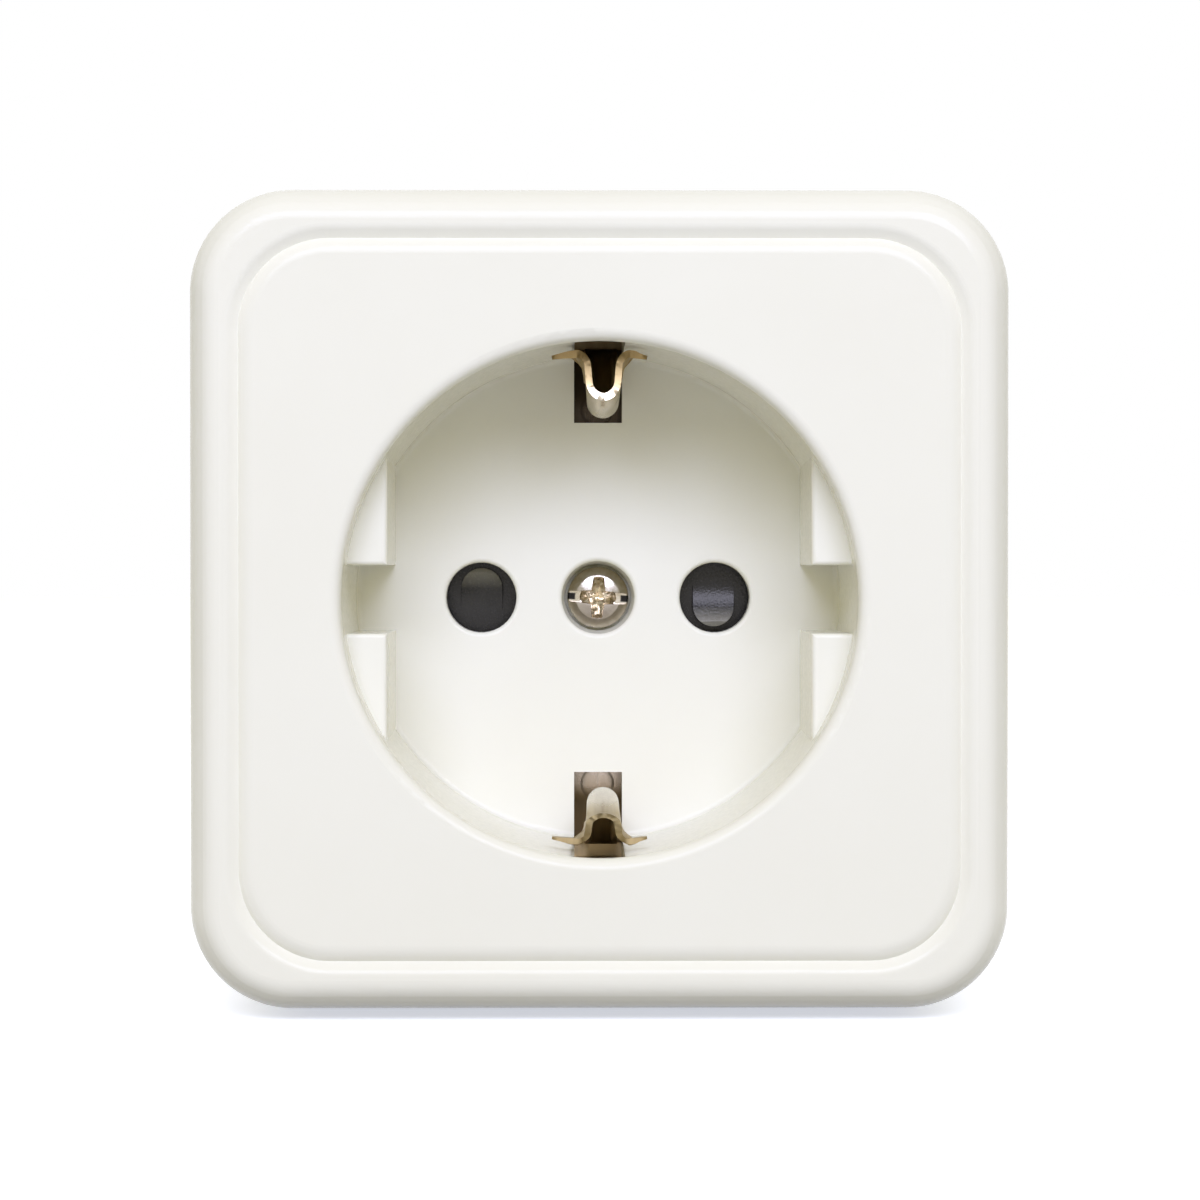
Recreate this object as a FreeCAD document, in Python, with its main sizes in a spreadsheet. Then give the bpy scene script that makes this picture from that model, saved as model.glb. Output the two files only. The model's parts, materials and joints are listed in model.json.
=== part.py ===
import FreeCAD, Part
import Sketcher
import os

# Surface mounted wall socket. The wall is the plane y = 0, the front looks along -Y, +Z is up and the
# origin is the middle of the back. "Level" below means the distance from the wall towards the front.

# Driving dimensions, in millimetres
driving = (
    ("cover_width", 65.0, "outside of the cover at the wall"),
    ("cover_depth", 40.0, "wall to front face"),
    ("cover_corner", 8.8, "corner radius of the cover at the wall"),
    ("side_lean", 0.92, "how far each side leans in towards the front"),
    ("edge_width", 1.72, "width of the sloping front edge"),
    ("edge_depth", 1.72, "depth of the sloping front edge"),
    ("edge_round", 1.8, "rounding between sloping edge and frame"),
    ("shoulder_round", 4.1, "rounding between sloping edge and side"),
    ("cover_wall", 2.0, "side wall of the cover"),
    ("front_wall", 2.4, "thickness behind the front face"),
    ("panel_width", 55.35, "panel inside the frame, at the groove"),
    ("panel_corner", 7.0, "corner radius of the panel"),
    ("groove_depth", 0.5, "groove between frame and panel"),
    ("groove_angle", 30.0, "inner slope of the frame, in degrees from the front"),
    ("panel_round", 1.69, "rounding of the panel into the groove"),
    ("frame_round", 1.0, "rounding of the frame into the groove"),
    ("recess_diameter", 39.2, "plug recess at its floor"),
    ("recess_flare", 0.25, "how much wider the recess is at the rim, each side"),
    ("recess_depth", 17.5, "front face to recess floor"),
    ("recess_wall", 1.6, "wall round the recess"),
    ("floor_thickness", 2.0, "recess floor"),
    ("rim_round", 0.95, "rounding of the recess rim"),
    ("floor_round", 0.45, "rounding between recess wall and floor"),
    ("ledge_spacing", 32.9, "between the flat faces of the ledges"),
    ("ledge_depth", 3.8, "front face to the tops of the ledges"),
    ("ledge_notch", 5.3, "notch through the middle of each ledge"),
    ("ledge_round", 0.35, "rounding of the ledge tops"),
    ("pin_pitch", 19.0, "between the plug pins"),
    ("pin_hole", 5.7, "pin hole"),
    ("hole_round", 0.4, "rounding of the pin holes and the screw hole, at the floor"),
    ("slot_width", 3.9, "earth slot"),
    ("slot_length", 5.4, "foot of the recess wall to the inner end of an earth slot"),
    ("slot_bridge", 1.1, "front face to the outer end of an earth slot"),
    ("boss_diameter", 8.6, "pivot boss behind the recess floor"),
    ("screw_hole", 6.0, "hole for the cover screw head, at the floor"),
    ("screw_hole_taper", 0.35, "how far the screw hole narrows, each side"),
    ("screw_seat", 2.9, "recess floor to the seat of the cover screw"),
    ("screw_diameter", 3.0, "cover screw shank"),
    ("screw_head", 5.0, "cover screw head"),
    ("screw_head_height", 2.0, "cover screw head"),
    ("screw_clear", 0.7, "cover screw to the earth link"),
    ("free_gap", 0.2, "round a screw in a plain hole, each side"),
    ("thread_gap", 0.05, "round a screw in its thread, each side"),
    ("run_gap", 0.1, "round the boss in the shutter, each side"),
    ("shutter_gap", 0.3, "recess floor to the ramps of the shutter"),
    ("ramp_height", 1.2, "ramp on the shutter"),
    ("ramp_width", 3.4, "ramp on the shutter"),
    ("ramp_start", 1.0, "pin middle to the low end of the ramp"),
    ("ramp_end", 2.4, "pin middle to the high end of the ramp"),
    ("ramp_crest", 0.5, "level top at the high end of the ramp"),
    ("bar_thickness", 1.6, "shutter bar"),
    ("bar_width", 6.8, "shutter bar"),
    ("bar_reach", 12.9, "middle to the end of the shutter bar"),
    ("ring_diameter", 13.2, "ring of the shutter"),
    ("spring_room", 1.6, "shutter to its back plate"),
    ("spring_wire", 0.35, "shutter spring wire"),
    ("spring_diameter", 10.4, "shutter spring, middle of the wire"),
    ("spring_pitch", 0.42, "shutter spring"),
    ("spring_turns", 2.5, "shutter spring"),
    ("stop_gap", 0.25, "shutter to its stops"),
    ("plate_thickness", 1.2, "shutter back plate"),
    ("plate_gap", 0.4, "back plate to the earth slots"),
    ("plate_bulge", 1.0, "back plate beyond its flats, sideways"),
    ("post_diameter", 4.4, "posts that carry the back plate"),
    ("post_across", 6.5, "post to middle, sideways"),
    ("post_up", 9.3, "post to middle, upwards"),
    ("post_screw", 1.9, "screws of the back plate"),
    ("post_screw_head", 3.8, "screws of the back plate"),
    ("post_screw_grip", 3.0, "screws of the back plate inside the posts"),
    ("bridge_gap", 0.2, "back plate to earth bridge"),
    ("bridge_thickness", 1.0, "earth bridge"),
    ("bridge_width", 6.0, "earth bridge"),
    ("tab_gap", 0.25, "recess wall to the upturned ends of the bridge"),
    ("tab_front_gap", 0.4, "front wall to the upturned ends of the bridge"),
    ("clip_sheet", 0.57, "earth clip sheet"),
    ("clip_set_back", 0.7, "foot of the recess wall back to the foot of the clip"),
    ("clip_nose_reach", 2.9, "foot of the clip in to its nose"),
    ("clip_mouth_reach", 1.1, "foot of the clip in to its front edge"),
    ("clip_front", 3.8, "front face to the front edge of the clip"),
    ("clip_nose_depth", 9.0, "front face to the nose of the clip"),
    ("clip_nose_round", 4.0, "bend at the nose of the clip"),
    ("clip_foot_bend", 3.0, "bend above the foot of the clip"),
    ("clip_foot_rise", 1.8, "straight part above the foot of the clip"),
    ("rib_height", 2.9, "pressed rib of the clip"),
    ("rib_round", 1.0, "crest of the rib, middle of the sheet"),
    ("rib_root", 0.8, "root of the rib, middle of the sheet"),
    ("foot_margin", 0.4, "foot of the clip beyond the earth slot, each side"),
    ("wing_span", 7.6, "across the wings of the clip"),
    ("wing_depth", 2.4, "wings of the clip, front to back"),
    ("clip_rivet", 1.8, "rivet of the clip"),
    ("rivet_head", 2.8, "rivet of the clip"),
    ("rivet_head_height", 0.6, "rivet of the clip"),
    ("pillar_diameter", 6.4, "earth pillar"),
    ("spigot_diameter", 3.4, "riveted end of the earth pillar"),
    ("base_gap", 0.3, "base plate inside the cover"),
    ("base_thickness", 2.5, "base plate"),
    ("base_corner", 6.4, "corner radius of the base plate"),
    ("lip_height", 2.5, "lip round the base plate"),
    ("lip_wall", 1.5, "lip round the base plate"),
    ("wall_screw_inset", 7.7, "edges of the base plate to a wall screw"),
    ("wall_screw_hole", 4.5, "wall screw hole"),
    ("wall_boss", 7.4, "boss round a wall screw hole"),
    ("wall_boss_height", 1.5, "boss round a wall screw hole"),
    ("cable_width", 16.0, "cable opening in the base plate"),
    ("cable_height", 9.0, "cable opening in the base plate"),
    ("cable_up", 13.0, "middle to the cable opening"),
    ("tail_level", 6.0, "wall to the terminal strips of the contacts"),
    ("contact_sheet", 0.9, "contact strip"),
    ("tail_width", 7.2, "contact strip"),
    ("tail_reach", 24.8, "middle to the end of the contact strip"),
    ("sleeve_bore", 4.6, "contact sleeve, inside"),
    ("sleeve_wall", 0.7, "contact sleeve"),
    ("sleeve_slit", 1.4, "contact sleeve"),
    ("sleeve_lead", 0.4, "lead in of the contact sleeve"),
    ("sleeve_clear", 0.8, "contact sleeve above the base plate"),
    ("sleeve_gap", 1.6, "contact sleeve to the shutter back plate"),
    ("chamber_room", 0.35, "round the contact sleeve in its chamber"),
    ("chamber_wall", 1.2, "wall of the contact chambers"),
    ("terminal_across", 21.0, "middle to a side terminal"),
    ("terminal_down", 13.5, "middle to the earth terminal"),
    ("terminal_screw", 3.5, "terminal screw"),
    ("terminal_head", 5.8, "terminal screw head"),
    ("terminal_head_height", 2.2, "terminal screw head"),
    ("terminal_slot", 0.9, "slot of a terminal screw"),
    ("clamp_width", 6.6, "wire clamp"),
    ("clamp_thickness", 1.0, "wire clamp"),
    ("contact_rivet", 2.6, "contact rivet"),
    ("contact_rivet_head", 3.4, "contact rivet"),
    ("contact_rivet_across", 15.6, "middle to a contact rivet"),
    ("link_level", 4.5, "wall to the earth link"),
    ("link_thickness", 1.2, "earth link"),
    ("link_width", 7.2, "earth link"),
    ("pedestal_margin", 0.5, "pedestals round the strips they carry"),
    ("back_pocket", 2.4, "pockets in the back for riveted ends"),
    ("knockout_width", 11.0, "thin panel for a surface cable"),
    ("knockout_height", 9.0, "thin panel for a surface cable"),
    ("knockout_web", 0.8, "thin panel for a surface cable"),
)

doc = FreeCAD.newDocument("wall_socket")
dim = doc.addObject("Spreadsheet::Sheet", "dim")
for row, (alias, size, meaning) in enumerate(driving, 1):
    dim.set(f"A{row}", meaning)
    dim.set(f"B{row}", str(size))
    dim.setAlias(f"B{row}", alias)
doc.recompute()

# Levels that several pieces share
front = "dim.cover_depth"
shoulder = "(dim.cover_depth - dim.edge_depth)"
front_back = "(dim.cover_depth - dim.front_wall)"
floor_front = "(dim.cover_depth - dim.recess_depth)"
floor_back = f"({floor_front} - dim.floor_thickness)"
ramp_top = f"({floor_back} - dim.shutter_gap)"
bar_front = f"({ramp_top} - dim.ramp_height)"
bar_back = f"({bar_front} - dim.bar_thickness)"
plate_front = f"({bar_back} - dim.spring_room)"
plate_back = f"({plate_front} - dim.plate_thickness)"
bridge_front = f"({plate_back} - dim.bridge_gap)"
bridge_back = f"({bridge_front} - dim.bridge_thickness)"
foot_front = f"({bridge_front} + dim.clip_sheet)"
base_front = "dim.base_thickness"
tail_front = "(dim.tail_level + dim.contact_sheet)"
link_front = "(dim.link_level + dim.link_thickness)"
sleeve_front = f"({plate_back} - dim.sleeve_gap)"
sleeve_back = "(dim.base_thickness + dim.sleeve_clear)"
screw_seat = f"({floor_front} - dim.screw_seat)"
screw_end = f"({link_front} + dim.screw_clear)"

# Radii and half widths that several pieces share
recess_floor_radius = "(dim.recess_diameter / 2)"
recess_rim_radius = "(dim.recess_diameter / 2 + dim.recess_flare)"
recess_outer_radius = f"({recess_rim_radius} + dim.recess_wall)"
base_half = "(dim.cover_width / 2 - dim.cover_wall - dim.base_gap)"
pin_place = "(dim.pin_pitch / 2)"
rib_half = "(dim.rib_round + dim.rib_root)"
slot_reach = f"({recess_floor_radius} - dim.slot_length)"
clip_radius = f"({recess_floor_radius} + dim.clip_set_back)"
clip_nose = f"({clip_radius} - dim.clip_nose_reach)"
clip_mouth = f"({clip_radius} - dim.clip_mouth_reach)"
rib_near = f"({clip_radius} - dim.rib_height - dim.clip_sheet / 2)"
rivet_place = f"({rib_near} - dim.run_gap - dim.rivet_head / 2)"
sleeve_outer = "(dim.sleeve_bore / 2 + dim.sleeve_wall)"
wall_screw_place = f"({base_half} - dim.wall_screw_inset)"
beyond = "1"


def number(expression):
    return float(dim.evalExpression(expression))


def new_body(label):
    body = doc.addObject("PartDesign::Body", label)
    body.Label = label
    return body


def new_sketch(body, level, role="XZ_Plane"):
    sketch = body.newObject("Sketcher::SketchObject", f"{body.Name}_outline")
    for feature in body.Origin.OriginFeatures:
        if feature.Role == role:
            sketch.AttachmentSupport = [(feature, "")]
    sketch.MapMode = "FlatFace"
    sketch.setExpression("AttachmentOffset.Base.z", level)
    return sketch


def hold(sketch, edge, point, across, up):
    for kind, axis, place in (("DistanceX", -2, across), ("DistanceY", -1, up)):
        if place == "0":
            sketch.addConstraint(Sketcher.Constraint("PointOnObject", edge, point, axis))
        else:
            row = sketch.addConstraint(Sketcher.Constraint(kind, -1, 1, edge, point, number(place)))
            sketch.setExpression(f"Constraints[{row}]", place)


def set_radius(sketch, edge, radius):
    row = sketch.addConstraint(Sketcher.Constraint("Radius", edge, number(radius)))
    sketch.setExpression(f"Constraints[{row}]", radius)


def circle(sketch, across, up, radius):
    middle = FreeCAD.Vector(number(across), number(up), 0)
    edge = sketch.addGeometry(Part.Circle(middle, FreeCAD.Vector(0, 0, 1), number(radius)))
    hold(sketch, edge, 3, across, up)
    set_radius(sketch, edge, radius)


def ends_of(sketch, edge, start):
    # Which end of an edge lies at the point it was drawn from
    if sketch.getPoint(edge, 1).distanceToPoint(start) < 1e-6:
        return 1, 2
    return 2, 1


def outline(sketch, corners):
    # A closed outline. A corner (across, up) starts a straight edge to the next corner, and a corner
    # (across, up, radius, middle across, middle up) starts an arc about that middle.
    points = [FreeCAD.Vector(number(corner[0]), number(corner[1]), 0) for corner in corners]
    edges = []
    for place, corner in enumerate(corners):
        start = points[place]
        end = points[(place + 1) % len(points)]
        if len(corner) == 2:
            edges.append(sketch.addGeometry(Part.LineSegment(start, end)))
        else:
            middle = FreeCAD.Vector(number(corner[3]), number(corner[4]), 0)
            outward = (start + end) * 0.5 - middle
            outward.normalize()
            bulge = middle + outward * number(corner[2])
            edges.append(sketch.addGeometry(Part.Arc(start, bulge, end)))
    ends = [ends_of(sketch, edge, point) for edge, point in zip(edges, points)]
    for place, corner in enumerate(corners):
        last = place - 1
        sketch.addConstraint(
            Sketcher.Constraint("Coincident", edges[last], ends[last][1], edges[place], ends[place][0])
        )
        hold(sketch, edges[place], ends[place][0], corner[0], corner[1])
        if len(corner) > 2:
            set_radius(sketch, edges[place], corner[2])


def rectangle(sketch, left, right, low, high):
    outline(sketch, ((left, low), (right, low), (right, high), (left, high)))


def rounded(sketch, half_across, half_up, corner, up="0"):
    left = f"-({half_across} - {corner})"
    right = f"({half_across} - {corner})"
    low = f"({up} - ({half_up} - {corner}))"
    high = f"({up} + ({half_up} - {corner}))"
    bottom = f"({up} - {half_up})"
    top = f"({up} + {half_up})"
    outline(sketch, (
        (right, bottom, corner, right, low),
        (half_across, low),
        (half_across, high, corner, right, high),
        (right, top),
        (left, top, corner, left, high),
        (f"-({half_across})", high),
        (f"-({half_across})", low, corner, left, low),
        (left, bottom),
    ))


def pad(body, sketch, length):
    feature = body.newObject("PartDesign::Pad", f"{body.Name}_pad")
    feature.Profile = sketch
    feature.setExpression("Length", length)
    return feature


def pocket(body, sketch, length, towards_front=False):
    # A pocket runs from its sketch towards the wall unless it is turned to the front
    feature = body.newObject("PartDesign::Pocket", f"{body.Name}_pocket")
    feature.Profile = sketch
    feature.Reversed = towards_front
    feature.setExpression("Length", length)
    return feature


def loft(body, kind, sketches):
    feature = body.newObject(kind, f"{body.Name}_loft")
    feature.Profile = sketches[0]
    feature.Sections = sketches[1:]
    feature.Ruled = True
    return feature


def turned(body, profile, kind="PartDesign::Revolution"):
    # A profile of (radius, level) corners turned about the front to back axis
    sketch = new_sketch(body, "0", "XY_Plane")
    outline(sketch, [(radius, f"-({level})") for radius, level in profile])
    feature = body.newObject(kind, f"{body.Name}_turned")
    feature.Profile = sketch
    feature.ReferenceAxis = (sketch, ["V_Axis"])
    feature.Angle = 360
    return feature


def edges_at(shape, level, chosen):
    names = []
    for place, edge in enumerate(shape.Edges, 1):
        box = edge.BoundBox
        if abs(box.YMin + level) < 1e-4 and abs(box.YMax + level) < 1e-4 and chosen(edge):
            names.append(f"Edge{place}")
    return names


def round_edges(body, level, radius, chosen):
    doc.recompute()
    base = body.Tip
    feature = body.newObject("PartDesign::Fillet", f"{body.Name}_round")
    feature.Base = (base, edges_at(base.Shape, number(level), chosen))
    feature.setExpression("Radius", radius)
    return feature


def place(body, across="0", up="0", half_turn=False):
    if half_turn:
        body.Placement.Rotation = FreeCAD.Rotation(FreeCAD.Vector(0, 1, 0), 180)
    body.setExpression("Placement.Base.x", across)
    body.setExpression("Placement.Base.z", up)


def reach_of(edge):
    box = edge.BoundBox
    return max(box.XMax, -box.XMin, box.ZMax, -box.ZMin)


def group(label, members):
    compound = doc.addObject("Part::Compound", label)
    compound.Label = label
    compound.Links = members
    return compound


# Front cover: frame, panel, plug recess and skirt in one moulding
cover = new_body("front_cover")
hood_sections = []
for level, inset in (
    ("0", "0"),
    (shoulder, "dim.side_lean"),
    (front, "(dim.side_lean + dim.edge_width)"),
):
    sketch = new_sketch(cover, level)
    half = f"(dim.cover_width / 2 - {inset})"
    rounded(sketch, half, half, f"(dim.cover_corner - {inset})")
    hood_sections.append(sketch)
loft(cover, "PartDesign::AdditiveLoft", hood_sections)
round_edges(cover, shoulder, "dim.shoulder_round", lambda edge: True)
round_edges(cover, front, "dim.edge_round", lambda edge: True)

# Groove between frame and panel: one section swept round the panel
groove_floor = "(dim.cover_depth - dim.groove_depth)"
panel_half = "(dim.panel_width / 2)"
panel_flat = f"({panel_half} - sqrt(dim.panel_round^2 - (dim.panel_round - dim.groove_depth)^2))"
slope_sine = "sin(dim.groove_angle * 1 deg)"
slope_cosine = "cos(dim.groove_angle * 1 deg)"
slope_drop = f"(dim.frame_round * (1 - {slope_cosine}))"
slope_end = f"({panel_half} + (dim.groove_depth - {slope_drop}) * {slope_cosine} / {slope_sine})"
frame_flat = f"({slope_end} + dim.frame_round * {slope_sine})"
section = new_sketch(cover, "0", "XY_Plane")
above = f"-({front} + {beyond})"
outline(section, (
    (panel_flat, f"-{front}", "dim.panel_round", panel_flat, f"-({front} - dim.panel_round)"),
    (panel_half, f"-{groove_floor}"),
    (slope_end, f"-({front} - {slope_drop})", "dim.frame_round", frame_flat, f"-({front} - dim.frame_round)"),
    (frame_flat, f"-{front}"),
    (frame_flat, above),
    (panel_flat, above),
))
path = new_sketch(cover, front)
path_corner = f"({panel_half} - dim.panel_corner)"
outline(path, (
    (panel_half, "0"),
    (panel_half, path_corner, "dim.panel_corner", path_corner, path_corner),
    (path_corner, panel_half),
    (f"-{path_corner}", panel_half, "dim.panel_corner", f"-{path_corner}", path_corner),
    (f"-{panel_half}", path_corner),
    (f"-{panel_half}", f"-{path_corner}", "dim.panel_corner", f"-{path_corner}", f"-{path_corner}"),
    (f"-{path_corner}", f"-{panel_half}"),
    (path_corner, f"-{panel_half}", "dim.panel_corner", path_corner, f"-{path_corner}"),
    (panel_half, f"-{path_corner}"),
))
doc.recompute()
groove = cover.newObject("PartDesign::SubtractivePipe", "groove")
groove.Profile = section
groove.Spine = (path, [f"Edge{n}" for n in range(1, 10)])

# Hollow of the hood
hollow_sections = []
for level, inset in (("0", "0"), (front_back, "dim.side_lean")):
    sketch = new_sketch(cover, level)
    half = f"(dim.cover_width / 2 - dim.cover_wall - {inset})"
    rounded(sketch, half, half, f"(dim.cover_corner - dim.cover_wall - {inset})")
    hollow_sections.append(sketch)
loft(cover, "PartDesign::SubtractiveLoft", hollow_sections)

# Plug recess with its wall and floor
sketch = new_sketch(cover, floor_back)
circle(sketch, "0", "0", recess_outer_radius)
pad(cover, sketch, f"({front_back} - {floor_back} + dim.front_wall / 2)")
turned(cover, (
    ("0", floor_front),
    (recess_floor_radius, floor_front),
    (recess_rim_radius, front),
    (recess_rim_radius, f"({front} + {beyond})"),
    ("0", f"({front} + {beyond})"),
), "PartDesign::Groove")
recess_reach = number(recess_rim_radius)
round_edges(cover, front, "dim.rim_round", lambda edge: reach_of(edge) < recess_reach + 0.01)
round_edges(cover, floor_front, "dim.floor_round", lambda edge: True)

# Ledges left and right that guide the plug, each with a notch through its middle
sketch = new_sketch(cover, f"({floor_front} - dim.floor_thickness / 2)")
ledge_face = "(dim.ledge_spacing / 2)"
ledge_outer = f"({recess_rim_radius} + dim.recess_wall / 2)"
notch_half = "(dim.ledge_notch / 2)"
notch_out = f"sqrt({ledge_outer}^2 - {notch_half}^2)"
ledge_end = f"sqrt({ledge_outer}^2 - {ledge_face}^2)"
for side in ("", "-"):
    for rise in ("", "-"):
        outline(sketch, (
            (f"{side}{ledge_face}", f"{rise}{notch_half}"),
            (f"{side}{notch_out}", f"{rise}{notch_half}", ledge_outer, "0", "0"),
            (f"{side}{ledge_face}", f"{rise}{ledge_end}"),
        ))
pad(cover, sketch, "(dim.recess_depth + dim.floor_thickness / 2 - dim.ledge_depth)")
round_edges(
    cover,
    "(dim.cover_depth - dim.ledge_depth)",
    "dim.ledge_round",
    lambda edge: len(edge.Vertexes) == 2 and edge.Curve.TypeId == "Part::GeomLine",
)

# Earth slots through the floor and up the recess wall
sketch = new_sketch(cover, "(dim.cover_depth - dim.slot_bridge)")
slot_half = "(dim.slot_width / 2)"
slot_out = f"({recess_outer_radius} + {beyond})"
for rise in ("", "-"):
    rectangle(sketch, f"-{slot_half}", slot_half, f"{rise}{slot_reach}", f"{rise}{slot_out}")
pocket(cover, sketch, f"(dim.recess_depth + dim.floor_thickness - dim.slot_bridge + {beyond})")

# Pin holes
sketch = new_sketch(cover, floor_front)
for side in ("", "-"):
    circle(sketch, f"{side}{pin_place}", "0", "(dim.pin_hole / 2)")
pocket(cover, sketch, f"(dim.floor_thickness + {beyond})")

# Pivot boss, posts for the back plate and stops for the shutter, all behind the floor
sketch = new_sketch(cover, bridge_front)
circle(sketch, "0", "0", "(dim.boss_diameter / 2)")
pad(cover, sketch, f"({floor_back} - {bridge_front} + dim.floor_thickness / 2)")
sketch = new_sketch(cover, plate_front)
for side in ("", "-"):
    circle(sketch, f"{side}dim.post_across", f"{side}dim.post_up", "(dim.post_diameter / 2)")
pad(cover, sketch, f"({floor_back} - {plate_front} + dim.floor_thickness / 2)")
stop_low = "(dim.bar_width / 2 + dim.stop_gap)"
sketch = new_sketch(cover, bar_back)
for side in ("", "-"):
    rectangle(
        sketch,
        f"{side}(dim.bar_reach - 2 * dim.chamber_wall)",
        f"{side}(dim.bar_reach - dim.chamber_wall)",
        f"{side}{stop_low}",
        f"{side}({stop_low} + dim.chamber_wall)",
    )
pad(cover, sketch, f"({floor_back} - {bar_back} + dim.floor_thickness / 2)")
sketch = new_sketch(cover, plate_front)
for side in ("", "-"):
    circle(sketch, f"{side}dim.post_across", f"{side}dim.post_up", "(dim.post_screw / 2 + dim.thread_gap)")
pocket(cover, sketch, "(dim.post_screw_grip + dim.free_gap)", towards_front=True)

# Stepped and slightly tapered hole for the cover screw
turned(cover, (
    ("0", f"({bridge_front} - {beyond})"),
    ("(dim.screw_diameter / 2 + dim.free_gap)", f"({bridge_front} - {beyond})"),
    ("(dim.screw_diameter / 2 + dim.free_gap)", screw_seat),
    ("(dim.screw_hole / 2 - dim.screw_hole_taper)", screw_seat),
    ("(dim.screw_hole / 2)", floor_front),
    ("(dim.screw_hole / 2)", f"({floor_front} + {beyond})"),
    ("0", f"({floor_front} + {beyond})"),
), "PartDesign::Groove")
round_edges(
    cover,
    floor_front,
    "dim.hole_round",
    lambda edge: edge.Curve.TypeId == "Part::GeomCircle" and edge.Curve.Radius < number("dim.screw_hole"),
)

# Thin panels in the upper and lower skirt that break out for a surface cable
sketch = new_sketch(cover, "0")
skirt_outer = "(dim.cover_width / 2 - dim.side_lean * dim.knockout_height / dim.cover_depth)"
for rise in ("", "-"):
    rectangle(
        sketch,
        "-(dim.knockout_width / 2)",
        "(dim.knockout_width / 2)",
        f"{rise}(dim.cover_width / 2 - dim.cover_wall - {beyond})",
        f"{rise}({skirt_outer} - dim.knockout_web)",
    )
pocket(cover, sketch, "dim.knockout_height", towards_front=True)

# Shutter: a bar on a ring that turns on the boss, with a ramp behind each pin hole
rotor = new_body("shutter_rotor")
sketch = new_sketch(rotor, bar_back)
rounded(sketch, "dim.bar_reach", "(dim.bar_width / 2)", "dim.bar_thickness")
pad(rotor, sketch, "dim.bar_thickness")
sketch = new_sketch(rotor, bar_back)
circle(sketch, "0", "0", "(dim.ring_diameter / 2)")
pad(rotor, sketch, "dim.bar_thickness")
ramp_half = "(dim.ramp_width / 2)"
ramp_turn = f"(dim.ramp_end - {ramp_half})"
sketch = new_sketch(rotor, f"({bar_front} - dim.bar_thickness / 2)")
for side in ("", "-"):
    tip = f"{side}{pin_place}"
    near = f"{side}({pin_place} - {ramp_half})"
    far = f"{side}({pin_place} + {ramp_half})"
    low = "-" if side == "" else ""
    outline(sketch, (
        (near, f"{side}dim.ramp_start"),
        (near, f"{low}{ramp_turn}", ramp_half, tip, f"{low}{ramp_turn}"),
        (tip, f"{low}dim.ramp_end", ramp_half, tip, f"{low}{ramp_turn}"),
        (far, f"{low}{ramp_turn}"),
        (far, f"{side}dim.ramp_start"),
    ))
pad(rotor, sketch, "(dim.ramp_height + dim.bar_thickness / 2)")
for side, low in (("", "-"), ("-", "")):
    sketch = new_sketch(rotor, f"{side}({pin_place} - {ramp_half} - {beyond})", "YZ_Plane")
    crest = f"{low}(dim.ramp_end - dim.ramp_crest)"
    foot = f"{side}dim.ramp_start"
    outline(sketch, (
        (f"-{ramp_top}", crest),
        (f"-{bar_front}", foot),
        (f"-({ramp_top} + {beyond})", foot),
        (f"-({ramp_top} + {beyond})", crest),
    ))
    slope = pocket(rotor, sketch, f"(dim.ramp_width + 2 * {beyond})", towards_front=(side == ""))
sketch = new_sketch(rotor, bar_back)
circle(sketch, "0", "0", "(dim.boss_diameter / 2 + dim.run_gap)")
circle(sketch, "0", "(dim.spring_diameter / 2)", "(dim.spring_wire / 2 + dim.run_gap)")
pocket(rotor, sketch, "dim.bar_thickness", towards_front=True)

# Shutter spring: a coil round the boss with one end in the shutter and one in the back plate
spring_coil = doc.addObject("Part::Helix", "spring_coil")
spring_coil.setExpression("Radius", "dim.spring_diameter / 2")
spring_coil.setExpression("Pitch", "dim.spring_pitch")
spring_coil.setExpression("Height", "dim.spring_pitch * dim.spring_turns")
spring_section = doc.addObject("Part::Circle", "spring_section")
spring_section.setExpression("Radius", "dim.spring_wire / 2")
spring_section.setExpression("Placement.Base.x", "dim.spring_diameter / 2")
spring_section.Placement.Rotation = FreeCAD.Rotation(FreeCAD.Vector(1, 0, 0), 90)
spring_wire = doc.addObject("Part::Sweep", "spring_wire")
spring_wire.Sections = [spring_section]
spring_wire.Spine = (spring_coil, ["Edge1"])
spring_wire.Solid = True
spring_wire.Frenet = True
spring_low_end = doc.addObject("Part::Cylinder", "spring_low_end")
spring_low_end.setExpression("Radius", "dim.spring_wire / 2")
spring_low_end.setExpression("Height", "dim.plate_thickness + dim.spring_wire / 4")
spring_low_end.setExpression("Placement.Base.x", "dim.spring_diameter / 2")
spring_low_end.setExpression("Placement.Base.y", "dim.spring_wire / 4")
spring_low_end.setExpression("Placement.Base.z", "-dim.plate_thickness")
spring_high_end = doc.addObject("Part::Cylinder", "spring_high_end")
spring_high_end.setExpression("Radius", "dim.spring_wire / 2")
spring_high_end.setExpression("Height", "dim.bar_thickness + dim.spring_wire / 4")
spring_high_end.setExpression("Placement.Base.x", "-dim.spring_diameter / 2")
spring_high_end.setExpression("Placement.Base.y", "dim.spring_wire / 4")
spring_high_end.setExpression("Placement.Base.z", "dim.spring_pitch * dim.spring_turns - dim.spring_wire / 4")
spring = doc.addObject("Part::MultiFuse", "shutter_spring")
spring.Label = "shutter_spring"
spring.Shapes = [spring_wire, spring_low_end, spring_high_end]
spring.Placement.Rotation = FreeCAD.Rotation(
    FreeCAD.Vector(0, 0, -1), FreeCAD.Vector(-1, 0, 0), FreeCAD.Vector(0, -1, 0), "ZXY"
)
spring_rest = "((dim.spring_room - dim.spring_pitch * dim.spring_turns) / 2)"
spring.setExpression("Placement.Base.y", f"-({plate_front} + {spring_rest})")

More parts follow.
